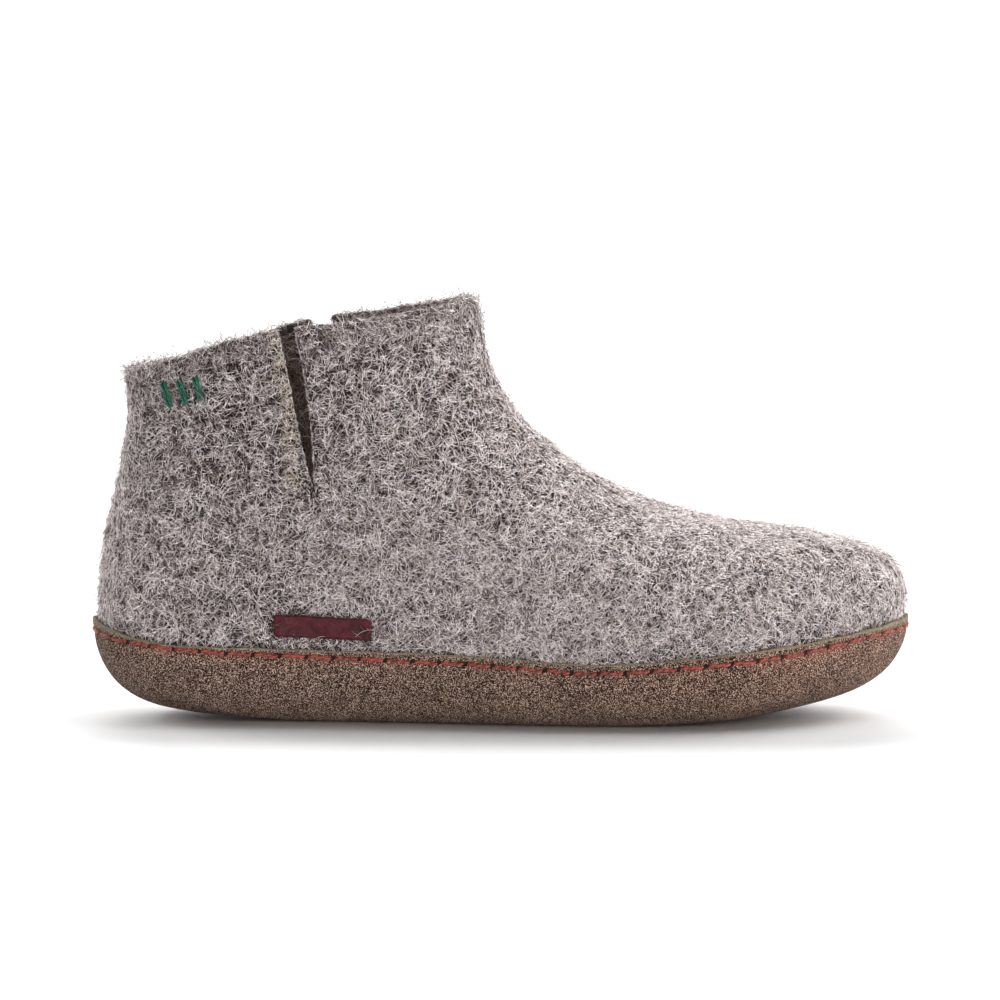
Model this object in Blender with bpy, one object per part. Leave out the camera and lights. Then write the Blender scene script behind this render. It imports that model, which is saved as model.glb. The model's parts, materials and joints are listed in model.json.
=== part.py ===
"""Felted wool slipper boot, right foot, standing on its suede sole.

The felt body is one curved skin, worked out ring by ring from the sole edge to the collar. Every piece
is cut from that skin: the wall lies inside it, the suede sole and the leather label lie just outside it.
The tables are in millimetres. x runs from the back of the heel to the toe, y from the outer to the inner
side of the foot, z up from the floor. The finished boot is centred on its own footprint.
"""

from collections import namedtuple
from functools import lru_cache
from math import acos, cos, pi, radians, sin, sqrt

import bmesh
import bpy
from mathutils import Vector

MM = 0.001

# Driving dimensions
LENGTH = 271.0
FELT = 4.0
SUEDE = 1.8
FOOTBED = 4.0
GAP = 0.3

# The felt skin starts inside the suede, so it is shorter than the boot by the sole's two walls.
SKIN_BACK = SUEDE + GAP
SKIN_FRONT = LENGTH - SUEDE - GAP
SKIN_FLOOR = SUEDE + GAP

# Lower turn of the sole: how far it runs inwards from the edge to the flat bottom.
HEEL_TURN = 46.0
TOE_TURN = 68.0
END_TAIL = 0.6
SIDE_TURN = 13.0
ARCH_TURN = 9.0
ARCH_X = 112.0
ARCH_REACH = 52.0
BOTTOM_END_SHRINK = 10.0
FOOTBED_LEVEL = -0.55
FOOTBED_SEAM = 0.016

# Collar slits: a narrow wedge cut down through the wall on each side of the ankle.
Slit = namedtuple("Slit", "side top_x tip_x tip_z mouth")
SLIT_TOP_Z = 150.0
SLIT_TIP = 0.7
SLIT_REACH = 60.0
SLITS = {
    "lateral": Slit(side=-1, top_x=63.4, tip_x=74.7, tip_z=75.0, mouth=5.9),
    "medial": Slit(side=1, top_x=72.3, tip_x=82.5, tip_z=76.0, mouth=9.8),
}

# Leather label, sewn flat on the outer side just above the sole.
LABEL_X = 77.4
LABEL_Z = 32.2
LABEL_LONG = 32.2
LABEL_HIGH = 7.6
LABEL_TILT = radians(-2.2)
LABEL_THICK = 1.1
LABEL_CORNER = 0.6
LABEL_CELLS_LONG = 14
LABEL_CELLS_HIGH = 4

# How finely the skin is divided.
COLUMNS = 64
LOWER_ROWS = 6
FOOTBED_ROWS = 4
UPPER_ROWS = 18
SHARP_EDGE = radians(42)

# Footprint of the skin at the sole edge: the foot's centre line and the half breadth about it.
Plan = namedtuple("Plan", "x centre half")
PLAN = (
    Plan(0, 0.0, 32.0),
    Plan(36, 0.0, 32.4),
    Plan(75, -0.8, 33.6),
    Plan(112, -2.4, 37.0),
    Plan(150, -2.4, 43.4),
    Plan(180, -0.5, 47.4),
    Plan(206, 1.8, 48.2),
    Plan(236, 5.0, 46.4),
    Plan(268, 9.0, 45.0),
)

# Height of the sole's sewn edge: high round the heel and the toe, lowest behind the ball.
Edge = namedtuple("Edge", "x z")
EDGE = (
    Edge(2, 31.1),
    Edge(12, 28.9),
    Edge(34, 26.4),
    Edge(95, 25.1),
    Edge(135, 23.9),
    Edge(165, 22.0),
    Edge(195, 23.9),
    Edge(225, 26.8),
    Edge(248, 29.7),
    Edge(269, 31.4),
)

# Rings of the skin. back and front are its points on the centre line, heel_turn and toe_turn the lengths
# over which its ends round off, breadth its share of the footprint's width. oval is the half width of the
# round shaft, which takes over by oval_share. dip follows the edge's height, and bow lifts the sides
# towards the slits.
Ring = namedtuple(
    "Ring", "name back_x back_z front_x front_z heel_turn toe_turn breadth oval oval_share dip bow"
)
RINGS = (
    Ring("sole edge", SKIN_BACK, 31.1, SKIN_FRONT, 31.4, 34, 62, 1.000, 35, 0.00, 1.00, 0.0),
    Ring("toe wall", 1.8, 35.2, 270.0, 40.6, 34, 68, 0.998, 35, 0.00, 0.76, 0.0),
    Ring("toe shoulder", 1.9, 39.2, 266.2, 48.8, 34, 82, 0.990, 35, 0.00, 0.52, 0.0),
    Ring("toe crown", 2.2, 42.6, 257.0, 54.6, 34, 98, 0.978, 35, 0.00, 0.30, 0.0),
    Ring("toe break", 2.7, 46.6, 241.0, 58.4, 35, 106, 0.964, 35, 0.00, 0.14, 0.0),
    Ring("ball", 3.5, 51.0, 218.0, 62.0, 36, 104, 0.962, 35, 0.02, 0.05, 0.0),
    Ring("low instep", 4.6, 56.2, 194.4, 66.7, 37, 96, 0.978, 35, 0.08, 0.00, 0.0),
    Ring("instep", 5.9, 61.8, 177.4, 72.7, 39, 84, 0.990, 35, 0.20, 0.00, 0.0),
    Ring("high instep", 7.4, 68.4, 161.9, 81.8, 42, 72, 0.996, 35, 0.38, 0.00, 0.0),
    Ring("throat", 8.8, 75.6, 149.8, 91.0, 45, 65, 1.000, 35, 0.58, 0.00, 0.2),
    Ring("ankle", 10.1, 83.2, 140.9, 99.6, 48, 62, 1.000, 35, 0.78, 0.00, 0.6),
    Ring("low shaft", 11.3, 91.4, 134.5, 109.2, 52, 60, 1.000, 35.6, 0.93, 0.00, 1.2),
    Ring("shaft", 12.0, 101.1, 130.0, 121.2, 56, 58, 1.000, 36.2, 1.00, 0.00, 2.0),
    Ring("collar", 11.4, 113.4, 126.6, 138.0, 57.3, 57.3, 1.000, 37, 1.00, 0.00, 3.0),
)

BOW_CENTRE = 0.42
BOW_REACH = 0.32

Finish = namedtuple("Finish", "colour roughness")
FINISHES = {
    "felt": Finish((0.305, 0.262, 0.254, 1.0), 0.95),
    "suede": Finish((0.135, 0.088, 0.066, 1.0), 0.92),
    "insole_felt": Finish((0.235, 0.200, 0.190, 1.0), 0.95),
    "label_leather": Finish((0.082, 0.022, 0.027, 1.0), 0.50),
}


def smooth(positions, values, at):
    """Cubic curve through a table's points, with each point's slope taken from its neighbours."""
    last = len(positions) - 1
    at = min(max(at, positions[0]), positions[last])
    index = 0
    while index < last - 1 and at > positions[index + 1]:
        index += 1

    def slope(k):
        before, after = max(k - 1, 0), min(k + 1, last)
        return (values[after] - values[before]) / (positions[after] - positions[before])

    span = positions[index + 1] - positions[index]
    t = (at - positions[index]) / span
    return (
        (1 + 2 * t) * (1 - t) ** 2 * values[index]
        + t * (1 - t) ** 2 * span * slope(index)
        + t * t * (3 - 2 * t) * values[index + 1]
        - t * t * (1 - t) * span * slope(index + 1)
    )


def column(table, name):
    return [getattr(row, name) for row in table]


PLAN_X = column(PLAN, "x")
PLAN_CENTRE = column(PLAN, "centre")
PLAN_HALF = column(PLAN, "half")
EDGE_X = column(EDGE, "x")
EDGE_Z = column(EDGE, "z")
RING_INDEX = list(range(len(RINGS)))
RING_COLUMNS = {name: column(RINGS, name) for name in Ring._fields[1:]}


@lru_cache(maxsize=None)
def ring_at(level):
    """The ring at a level from 0, the sole edge, to 1, the collar, as a blend of the table's rows."""
    row = level * (len(RINGS) - 1)
    return Ring("", *(smooth(RING_INDEX, values, row) for values in RING_COLUMNS.values()))


def rounded_end(distance, turn):
    """Share of the full width at a distance from a ring's end: a quarter ellipse, then 1."""
    return sqrt(max(0.0, 1 - (1 - min(distance / turn, 1.0)) ** 2))


def bump(away):
    """Smooth hump, 1 in the middle and 0 from one reach away on either side."""
    return (1 - away * away) ** 2 if abs(away) < 1 else 0.0


def arch_inset(x, side):
    """Extra turn under the inner side of the waist, where the arch lifts off the floor."""
    return ARCH_TURN * bump((x - ARCH_X) / ARCH_REACH) if side > 0 else 0.0


def skin_point(level, angle):
    """A point of the felt skin. angle runs from the heel (0) round the outer side to the toe (pi) and
    back along the inner side. Levels from 0 down to -1 are the lower turn under the sole edge."""
    side = -1 if angle % (2 * pi) < pi else 1
    along = (1 - cos(angle)) / 2
    ring = ring_at(max(level, 0.0))
    turn = radians(90) * max(-level, 0.0)
    inwards = 1 - cos(turn)
    ends_in = 1 - max(cos(turn), 0.0) ** END_TAIL
    back = ring.back_x + HEEL_TURN * ends_in
    front = ring.front_x - TOE_TURN * ends_in
    x = back + (front - back) * along
    ends = rounded_end(x - back, ring.heel_turn - BOTTOM_END_SHRINK * inwards)
    ends *= rounded_end(front - x, ring.toe_turn - BOTTOM_END_SHRINK * inwards)
    foot_half = ring.breadth * smooth(PLAN_X, PLAN_HALF, x) - (SIDE_TURN + arch_inset(x, side)) * inwards
    half = ends * (foot_half * (1 - ring.oval_share) + ring.oval * ring.oval_share)
    y = smooth(PLAN_X, PLAN_CENTRE, x) * (1 - ring.oval_share) + side * half

    straight = ring.back_z + (ring.front_z - ring.back_z) * along
    edge_x = SKIN_BACK + (SKIN_FRONT - SKIN_BACK) * along
    edge_straight = EDGE_Z[0] + (EDGE_Z[-1] - EDGE_Z[0]) * along
    z = straight + ring.dip * (smooth(EDGE_X, EDGE_Z, edge_x) - edge_straight)
    z += ring.bow * bump((along - BOW_CENTRE) / BOW_REACH)
    z = SKIN_FLOOR + (z - SKIN_FLOOR) * (1 - sin(turn))
    return Vector((x, y, z))


def skin_normal(level, angle, step=0.004):
    """Outward direction of the skin, from its slopes along and across the ring."""
    low, high = max(level - step, -1.0), min(level + step, 1.0)
    if low < 0 < high:
        low, high = (low, 0.0) if level < 0 else (0.0, high)
    if level <= -1.0:
        return Vector((0, 0, -1))
    around = skin_point(level, angle + step) - skin_point(level, angle - step)
    upwards = skin_point(high, angle) - skin_point(low, angle)
    return around.cross(upwards).normalized()


def off_skin(level, angle, offset):
    """A point of the skin moved outwards by offset."""
    return skin_point(level, angle) + skin_normal(level, angle) * offset


def level_steps(low, high, rows):
    return [low + (high - low) * k / rows for k in range(rows + 1)]


def ring_points(level, offset, lift=0.0):
    """One closed ring of points round the boot."""
    angles = (2 * pi * k / COLUMNS for k in range(COLUMNS))
    return [off_skin(level, angle, offset) + Vector((0, 0, lift)) for angle in angles]


def footprint_middle():
    """Middle of the boot's own box in plan, taken on the suede's widest ring."""
    widest = ring_points(0.0, GAP + SUEDE)
    xs = [point.x for point in widest]
    ys = [point.y for point in widest]
    return Vector(((min(xs) + max(xs)) / 2, (min(ys) + max(ys)) / 2, 0))


MIDDLE = footprint_middle()


def finish(name):
    colour, roughness = FINISHES[name]
    material = bpy.data.materials.new(name)
    material.use_nodes = True
    shader = material.node_tree.nodes["Principled BSDF"]
    shader.inputs["Base Color"].default_value = colour
    shader.inputs["Roughness"].default_value = roughness
    material.diffuse_color = colour
    return material


def add_object(name, bm, material):
    """Puts a finished mesh into the scene, in metres and centred on the footprint."""
    bmesh.ops.translate(bm, verts=bm.verts, vec=-MIDDLE)
    bmesh.ops.scale(bm, verts=bm.verts, vec=Vector((MM, MM, MM)))
    bmesh.ops.recalc_face_normals(bm, faces=bm.faces)
    mesh = bpy.data.meshes.new(name)
    bm.to_mesh(mesh)
    bm.free()
    mesh.shade_smooth()
    mesh.set_sharp_from_angle(angle=SHARP_EDGE)
    obj = bpy.data.objects.new(name, mesh)
    bpy.context.scene.collection.objects.link(obj)
    if material:
        mesh.materials.append(material)
    return obj


def stack(name, rings, material, capped):
    """A solid skinned over a stack of closed rings: capped at both ends, or closed on itself like a tube."""
    bm = bmesh.new()
    loops = [[bm.verts.new(point) for point in ring] for ring in rings]
    pairs = list(zip(loops, loops[1:]))
    if not capped:
        pairs.append((loops[-1], loops[0]))
    for lower, upper in pairs:
        for k in range(len(lower)):
            after = (k + 1) % len(lower)
            bm.faces.new((lower[k], lower[after], upper[after], upper[k]))
    if capped:
        bm.faces.new(loops[0])
        bm.faces.new(loops[-1])
    return add_object(name, bm, material)


def slit_cutter(name, slit):
    """Wedge that opens one collar slit: a long V, seen from the side, pushed through one wall."""
    outline = (
        (slit.tip_x - SLIT_TIP / 2, slit.tip_z),
        (slit.tip_x + SLIT_TIP / 2, slit.tip_z),
        (slit.top_x + slit.mouth / 2, SLIT_TOP_Z),
        (slit.top_x - slit.mouth / 2, SLIT_TOP_Z),
    )
    bm = bmesh.new()
    face = bm.faces.new([bm.verts.new((x, 0, z)) for x, z in outline])
    swept = bmesh.ops.extrude_face_region(bm, geom=[face])["geom"]
    far = [v for v in swept if isinstance(v, bmesh.types.BMVert)]
    bmesh.ops.translate(bm, verts=far, vec=Vector((0, slit.side * SLIT_REACH, 0)))
    cutter = add_object(f"slit_cutter_{name}", bm, None)
    cutter.hide_render = True
    cutter.display_type = "WIRE"
    return cutter


def make_upper():
    """Felt wall: up the skin from the footbed's seam to the collar, over the rim and down inside."""
    levels = level_steps(FOOTBED_LEVEL, 0.0, LOWER_ROWS)[:-1] + level_steps(0.0, 1.0, UPPER_ROWS)
    rim = FELT * 0.2
    outside = [ring_points(level, 0.0) for level in levels]
    inside = [ring_points(level, -FELT) for level in reversed(levels)]
    collar_rim = [ring_points(1.0, -FELT * share, rim) for share in (0.3, 0.7)]
    upper = stack("felt_upper", outside + collar_rim + inside, finish("felt"), capped=False)
    for name, slit in SLITS.items():
        cut = upper.modifiers.new(f"{name}_slit", "BOOLEAN")
        cut.operation = "DIFFERENCE"
        cut.object = slit_cutter(name, slit)
    return upper


def make_sole():
    """Suede cup: flat bottom, rounded lower turn and a thin wall up to the sewn edge."""
    levels = level_steps(-1.0, FOOTBED_LEVEL, FOOTBED_ROWS)[:-1] + level_steps(FOOTBED_LEVEL, 0.0, LOWER_ROWS)
    outside = [ring_points(level, GAP + SUEDE) for level in levels]
    inside = [ring_points(level, GAP) for level in reversed(levels)]
    return stack("suede_sole", outside + inside, finish("suede"), capped=True)


def make_insole():
    """Felt footbed: closes the open underside of the upper and lies in the suede cup."""
    levels = level_steps(-1.0, FOOTBED_LEVEL - FOOTBED_SEAM, FOOTBED_ROWS)
    under = [ring_points(level, 0.0) for level in levels]
    over = [ring_points(level, -FOOTBED) for level in reversed(levels)]
    return stack("felt_insole", under + over, finish("insole_felt"), capped=True)


def outer_side_at(x, z):
    """Level and angle of the skin's outer side at a place seen from that side."""

    def angle_at(level):
        ring = ring_at(level)
        return acos(1 - 2 * (x - ring.back_x) / (ring.front_x - ring.back_x))

    low, high = 0.0, 0.6
    for _ in range(40):
        middle = (low + high) / 2
        if skin_point(middle, angle_at(middle)).z < z:
            low = middle
        else:
            high = middle
    return low, angle_at(low)


def label_rows(offset):
    """Grid of label points at one offset from the skin, with its corners drawn in."""
    rows = []
    for j in range(LABEL_CELLS_HIGH + 1):
        row = []
        for i in range(LABEL_CELLS_LONG + 1):
            across = LABEL_LONG * (i / LABEL_CELLS_LONG - 0.5)
            up = LABEL_HIGH * (j / LABEL_CELLS_HIGH - 0.5)
            if i in (0, LABEL_CELLS_LONG) and j in (0, LABEL_CELLS_HIGH):
                across -= LABEL_CORNER * (1 if i else -1)
                up -= LABEL_CORNER * (1 if j else -1)
            x = LABEL_X + across * cos(LABEL_TILT) - up * sin(LABEL_TILT)
            z = LABEL_Z + across * sin(LABEL_TILT) + up * cos(LABEL_TILT)
            row.append(off_skin(*outer_side_at(x, z), offset))
        rows.append(row)
    return rows


def make_label():
    """Thin leather tab lying on the felt, cut between two forms just outside the skin."""
    bm = bmesh.new()
    sheets = [
        [[bm.verts.new(point) for point in row] for row in label_rows(offset)]
        for offset in (GAP, GAP + LABEL_THICK)
    ]
    for sheet in sheets:
        for lower, upper in zip(sheet, sheet[1:]):
            for i in range(LABEL_CELLS_LONG):
                bm.faces.new((lower[i], lower[i + 1], upper[i + 1], upper[i]))
    rims = [
        sheet[0] + [row[-1] for row in sheet[1:]] + sheet[-1][-2::-1] + [row[0] for row in sheet[-2:0:-1]]
        for sheet in sheets
    ]
    under, over = rims
    for k in range(len(under)):
        after = (k + 1) % len(under)
        bm.faces.new((under[k], under[after], over[after], over[k]))
    return add_object("leather_label", bm, finish("label_leather"))


def main():
    for obj in list(bpy.data.objects):
        bpy.data.objects.remove(obj)
    make_upper()
    make_sole()
    make_insole()
    make_label()


main()
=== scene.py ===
# %% [markdown]
# A felted wool slipper boot: one moulded felt body with a slit in each side of its collar, a suede sole
# sewn on with rust thread, and a small leather label. The packed solids give its frame. This script dresses
# them in finer pieces: felt with real hairs on it, napped suede, single stitches, and a studio round them.

# %% Load the frame
import json

import bmesh
import bpy
import numpy as np
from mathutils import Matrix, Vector

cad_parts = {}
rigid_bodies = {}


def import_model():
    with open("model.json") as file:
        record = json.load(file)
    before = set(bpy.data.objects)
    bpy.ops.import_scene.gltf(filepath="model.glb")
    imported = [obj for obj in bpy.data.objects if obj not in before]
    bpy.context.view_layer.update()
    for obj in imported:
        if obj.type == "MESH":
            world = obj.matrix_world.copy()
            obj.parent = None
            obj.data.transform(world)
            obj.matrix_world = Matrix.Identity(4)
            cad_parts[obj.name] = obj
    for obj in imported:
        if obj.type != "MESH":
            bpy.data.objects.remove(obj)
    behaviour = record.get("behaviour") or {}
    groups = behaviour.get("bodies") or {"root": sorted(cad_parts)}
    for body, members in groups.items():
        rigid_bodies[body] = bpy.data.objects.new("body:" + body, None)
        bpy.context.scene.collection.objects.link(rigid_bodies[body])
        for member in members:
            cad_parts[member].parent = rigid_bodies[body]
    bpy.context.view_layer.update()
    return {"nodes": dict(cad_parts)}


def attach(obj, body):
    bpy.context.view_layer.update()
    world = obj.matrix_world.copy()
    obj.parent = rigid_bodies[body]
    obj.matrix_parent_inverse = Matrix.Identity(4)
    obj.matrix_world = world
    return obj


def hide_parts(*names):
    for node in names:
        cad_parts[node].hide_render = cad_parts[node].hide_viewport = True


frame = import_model()
print("nodes:", ", ".join(sorted(frame["nodes"])))

# %% [markdown]
# The felt is pulled over a last, a wooden foot. A last could be sculpted by hand, but here it is worked out
# from a short table of rings, the same one that the solids use, so every new piece fits them exactly.
# Sizes are in millimetres: x from the back of the heel to the toe, y to the inner side of the foot, z up.

# %% Sizes and tables of the last
LENGTH = 271.0
FELT, SUEDE, FOOTBED, GAP = 4.0, 1.8, 4.0, 0.3
SKIN_BACK = SUEDE + GAP
SKIN_FRONT = LENGTH - SUEDE - GAP
SKIN_FLOOR = SUEDE + GAP


def table(columns, *rows):
    """Rows of numbers under named columns."""
    return np.array(list(rows), dtype=[(name, float) for name in columns.split()])


PLAN = table(
    "x centre half",
    (0, 0.0, 32.0),
    (36, 0.0, 32.4),
    (75, -0.8, 33.6),
    (112, -2.4, 37.0),
    (150, -2.4, 43.4),
    (180, -0.5, 47.4),
    (206, 1.8, 48.2),
    (236, 5.0, 46.4),
    (268, 9.0, 45.0),
)
EDGE = table(
    "x z",
    *((2, 31.1), (12, 28.9), (34, 26.4), (95, 25.1), (135, 23.9)),
    *((165, 22.0), (195, 23.9), (225, 26.8), (248, 29.7), (269, 31.4)),
)
RINGS = table(
    "back_x back_z front_x front_z heel_turn toe_turn breadth oval oval_share dip bow",
    (SKIN_BACK, 31.1, SKIN_FRONT, 31.4, 34, 62, 1.000, 35, 0.00, 1.00, 0.0),
    (1.8, 35.2, 270.0, 40.6, 34, 68, 0.998, 35, 0.00, 0.76, 0.0),
    (1.9, 39.2, 266.2, 48.8, 34, 82, 0.990, 35, 0.00, 0.52, 0.0),
    (2.2, 42.6, 257.0, 54.6, 34, 98, 0.978, 35, 0.00, 0.30, 0.0),
    (2.7, 46.6, 241.0, 58.4, 35, 106, 0.964, 35, 0.00, 0.14, 0.0),
    (3.5, 51.0, 218.0, 62.0, 36, 104, 0.962, 35, 0.02, 0.05, 0.0),
    (4.6, 56.2, 194.4, 66.7, 37, 96, 0.978, 35, 0.08, 0.00, 0.0),
    (5.9, 61.8, 177.4, 72.7, 39, 84, 0.990, 35, 0.20, 0.00, 0.0),
    (7.4, 68.4, 161.9, 81.8, 42, 72, 0.996, 35, 0.38, 0.00, 0.0),
    (8.8, 75.6, 149.8, 91.0, 45, 65, 1.000, 35, 0.58, 0.00, 0.2),
    (10.1, 83.2, 140.9, 99.6, 48, 62, 1.000, 35, 0.78, 0.00, 0.6),
    (11.3, 91.4, 134.5, 109.2, 52, 60, 1.000, 35.6, 0.93, 0.00, 1.2),
    (12.0, 101.1, 130.0, 121.2, 56, 58, 1.000, 36.2, 1.00, 0.00, 2.0),
    (11.4, 113.4, 126.6, 138.0, 57.3, 57.3, 1.000, 37, 1.00, 0.00, 3.0),
)
print("rings:", len(RINGS), "from the sole edge to the collar")

# %% A smooth line through a table's column


def smooth(knots, values, at):
    """Cubic through the knots. Each knot's slope is that of the line between its two neighbours."""
    at = np.clip(at, knots[0], knots[-1])
    before = np.r_[0, np.arange(len(knots) - 1)]
    after = np.r_[np.arange(1, len(knots)), len(knots) - 1]
    slope = (values[after] - values[before]) / (knots[after] - knots[before])
    k = np.clip(np.searchsorted(knots, at, side="right") - 1, 0, len(knots) - 2)
    span = knots[k + 1] - knots[k]
    t = (at - knots[k]) / span
    return (
        (1 + 2 * t) * (1 - t) ** 2 * values[k]
        + t * (1 - t) ** 2 * span * slope[k]
        + t * t * (3 - 2 * t) * values[k + 1]
        - t * t * (1 - t) * span * slope[k + 1]
    )


print("edge height at the ball:", float(smooth(EDGE["x"], EDGE["z"], 165.0)), "mm")

# %% [markdown]
# A point of the last is found by a level and a turn. Levels run from 0 at the sole edge to 1 at the collar,
# and below the edge from 0 down to -1 at the flat bottom. The turn is an angle: 0 at the heel, half a circle
# at the toe, first along the outer side. This way a row of points is a ring and a column runs up the boot.

# %% Humps, bells and rounded ends


def bump(away):
    """Smooth hump: one minus the square of the distance, squared, and 0 beyond a distance of 1."""
    return np.clip(1 - away * away, 0, None) ** 2


def bell(away, reach):
    """Bell curve: 1 at 0, and about a third at one reach."""
    return np.exp(-((away / reach) ** 2))


def rounded_end(distance, turn):
    """Quarter ellipse from 0 at a ring's end to 1 one turn length inside it."""
    return np.sqrt(np.clip(1 - (1 - np.clip(distance / turn, 0, 1)) ** 2, 0, None))


print("half way down: hump", bump(0.5), "and bell", bell(0.5, 1.0).round(2))

# %% The last's own surface
HEEL_TURN, TOE_TURN, END_TAIL = 46.0, 68.0, 0.6
SIDE_TURN, ARCH_TURN, ARCH_X, ARCH_REACH = 13.0, 9.0, 112.0, 52.0
BOTTOM_END_SHRINK = 10.0
BOW_CENTRE, BOW_REACH = 0.42, 0.32


def ring_at(level):
    """Every column of the ring table at a level, with levels under 0 read as 0."""
    row = np.clip(level, 0, 1) * (len(RINGS) - 1)
    knots = np.arange(len(RINGS), dtype=float)
    return {name: smooth(knots, RINGS[name], row) for name in RINGS.dtype.names}


def skin(level, turn):
    """Along a ring, x goes from its back to its front as one minus the cosine of the turn. The half width is
    the footprint's, blended into the shaft's oval and rounded off at both ends. The height goes straight from
    the back to the front, plus the dip of the sole edge and the bow of the collar. Under the edge the ring
    shrinks inwards and sinks along a quarter ellipse."""
    level, turn = np.broadcast_arrays(np.asarray(level, float), np.asarray(turn, float))
    ring = ring_at(level)
    side = np.where(np.sin(turn) >= 0, -1.0, 1.0)
    along = (1 - np.cos(turn)) / 2
    dive = np.pi / 2 * np.clip(-level, 0, 1)
    inwards = 1 - np.cos(dive)
    ends_in = 1 - np.clip(np.cos(dive), 0, 1) ** END_TAIL
    back = ring["back_x"] + HEEL_TURN * ends_in
    front = ring["front_x"] - TOE_TURN * ends_in
    x = back + (front - back) * along
    ends = rounded_end(x - back, ring["heel_turn"] - BOTTOM_END_SHRINK * inwards)
    ends = ends * rounded_end(front - x, ring["toe_turn"] - BOTTOM_END_SHRINK * inwards)
    arch = np.where(side > 0, ARCH_TURN * bump((x - ARCH_X) / ARCH_REACH), 0.0)
    foot = ring["breadth"] * smooth(PLAN["x"], PLAN["half"], x) - (SIDE_TURN + arch) * inwards
    half = ends * (foot * (1 - ring["oval_share"]) + ring["oval"] * ring["oval_share"])
    y = smooth(PLAN["x"], PLAN["centre"], x) * (1 - ring["oval_share"]) + side * half
    edge_x = SKIN_BACK + (SKIN_FRONT - SKIN_BACK) * along
    edge_straight = EDGE["z"][0] + (EDGE["z"][-1] - EDGE["z"][0]) * along
    z = ring["back_z"] + (ring["front_z"] - ring["back_z"]) * along
    z = z + ring["dip"] * (smooth(EDGE["x"], EDGE["z"], edge_x) - edge_straight)
    z = z + ring["bow"] * bump((along - BOW_CENTRE) / BOW_REACH)
    z = SKIN_FLOOR + (z - SKIN_FLOOR) * (1 - np.sin(dive))
    return np.stack([x, y, z], axis=-1)


print("front of the collar, mm:", skin(1.0, np.pi).round(1))

# %% Off the last


def unit(vectors):
    """The same vectors at a length of 1."""
    return vectors / np.maximum(np.linalg.norm(vectors, axis=-1, keepdims=True), 1e-12)


def skin_normal(level, turn, step=0.004):
    """Outward direction: the slope round the ring crossed with the slope up the column."""
    level, turn = np.broadcast_arrays(np.asarray(level, float), np.asarray(turn, float))
    low = np.where(level < 0, np.maximum(level - step, -1), np.maximum(level - step, 0))
    high = np.where(level < 0, np.minimum(level + step, 0), np.minimum(level + step, 1))
    around = skin(level, turn + step) - skin(level, turn - step)
    normal = unit(np.cross(around, skin(high, turn) - skin(low, turn)))
    return np.where((level <= -1)[..., None], np.array([0.0, 0.0, -1.0]), normal)


def off_skin(level, turn, distance):
    """Points a distance off the last, along its outward direction."""
    return skin(level, turn) + skin_normal(level, turn) * np.asarray(distance)[..., None]


edge_turns = np.linspace(0, 2 * np.pi, 64, endpoint=False)
widest = off_skin(0.0, edge_turns, GAP + SUEDE)
MIDDLE = np.append((widest.min(0) + widest.max(0))[:2] / 2, 0.0)
print("footprint middle, mm:", MIDDLE.round(2))

# %% [markdown]
# Every piece is a grid or a bundle of grids. One helper numbers a grid's faces and another puts points and
# faces into Blender, in metres and centred like the solids. Whole arrays go in at once, because adding points
# one by one would be slow for the hairs. Grids that share a border are welded there, which closes the seams.

# %% From arrays to a Blender object


def grid_quads(rows, columns, first=0, flip=False):
    """Corner numbers of a grid's faces, walking row by row; flip turns them to face the other way."""
    corner = np.arange(rows * columns).reshape(rows, columns) + first
    quads = np.stack([corner[:-1, :-1], corner[:-1, 1:], corner[1:, 1:], corner[1:, :-1]], -1).reshape(-1, 4)
    return quads[:, ::-1] if flip else quads


def make_object(name, points, *faces, marks=None, weld=True):
    """Puts points in millimetres and arrays of faces, any corner count, into one new object. marks are
    numbers kept on the points, and weld merges points that lie on each other."""
    mesh = bpy.data.meshes.new(name)
    places = ((points.reshape(-1, 3) - MIDDLE) / 1000).astype(np.float32)
    mesh.vertices.add(len(places))
    mesh.vertices.foreach_set("co", places.ravel())
    sizes = np.concatenate([np.full(len(group), group.shape[1]) for group in faces])
    corners = np.concatenate([group.ravel() for group in faces]).astype(np.int32)
    mesh.loops.add(len(corners))
    mesh.loops.foreach_set("vertex_index", corners)
    mesh.polygons.add(len(sizes))
    mesh.polygons.foreach_set("loop_start", np.r_[0, np.cumsum(sizes)[:-1]].astype(np.int32))
    for mark, values in (marks or {}).items():
        kept = mesh.attributes.new(mark, "FLOAT", "POINT")
        kept.data.foreach_set("value", np.asarray(values, np.float32).ravel())
    mesh.update(calc_edges=True)
    if weld:
        bm = bmesh.new()
        bm.from_mesh(mesh)
        bmesh.ops.remove_doubles(bm, verts=bm.verts, dist=2e-6)
        bmesh.ops.recalc_face_normals(bm, faces=bm.faces)
        bm.to_mesh(mesh)
        bm.free()
    mesh.validate()
    mesh.shade_smooth()
    made = bpy.data.objects.new(name, mesh)
    bpy.context.scene.collection.objects.link(made)
    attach(made, "root")
    print(f"{name}: {len(mesh.vertices)} points, {sum(len(p.vertices) - 2 for p in mesh.polygons)} triangles")
    return made


print("a grid of 3 by 4 points has", len(grid_quads(3, 4)), "faces")

# %% [markdown]
# Materials are node trees, and writing them as arithmetic keeps them readable. A wire is one output socket:
# adding or multiplying wires adds Math nodes, and a wire can also mix two colours.

# %% A wire for shader arithmetic


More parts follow.
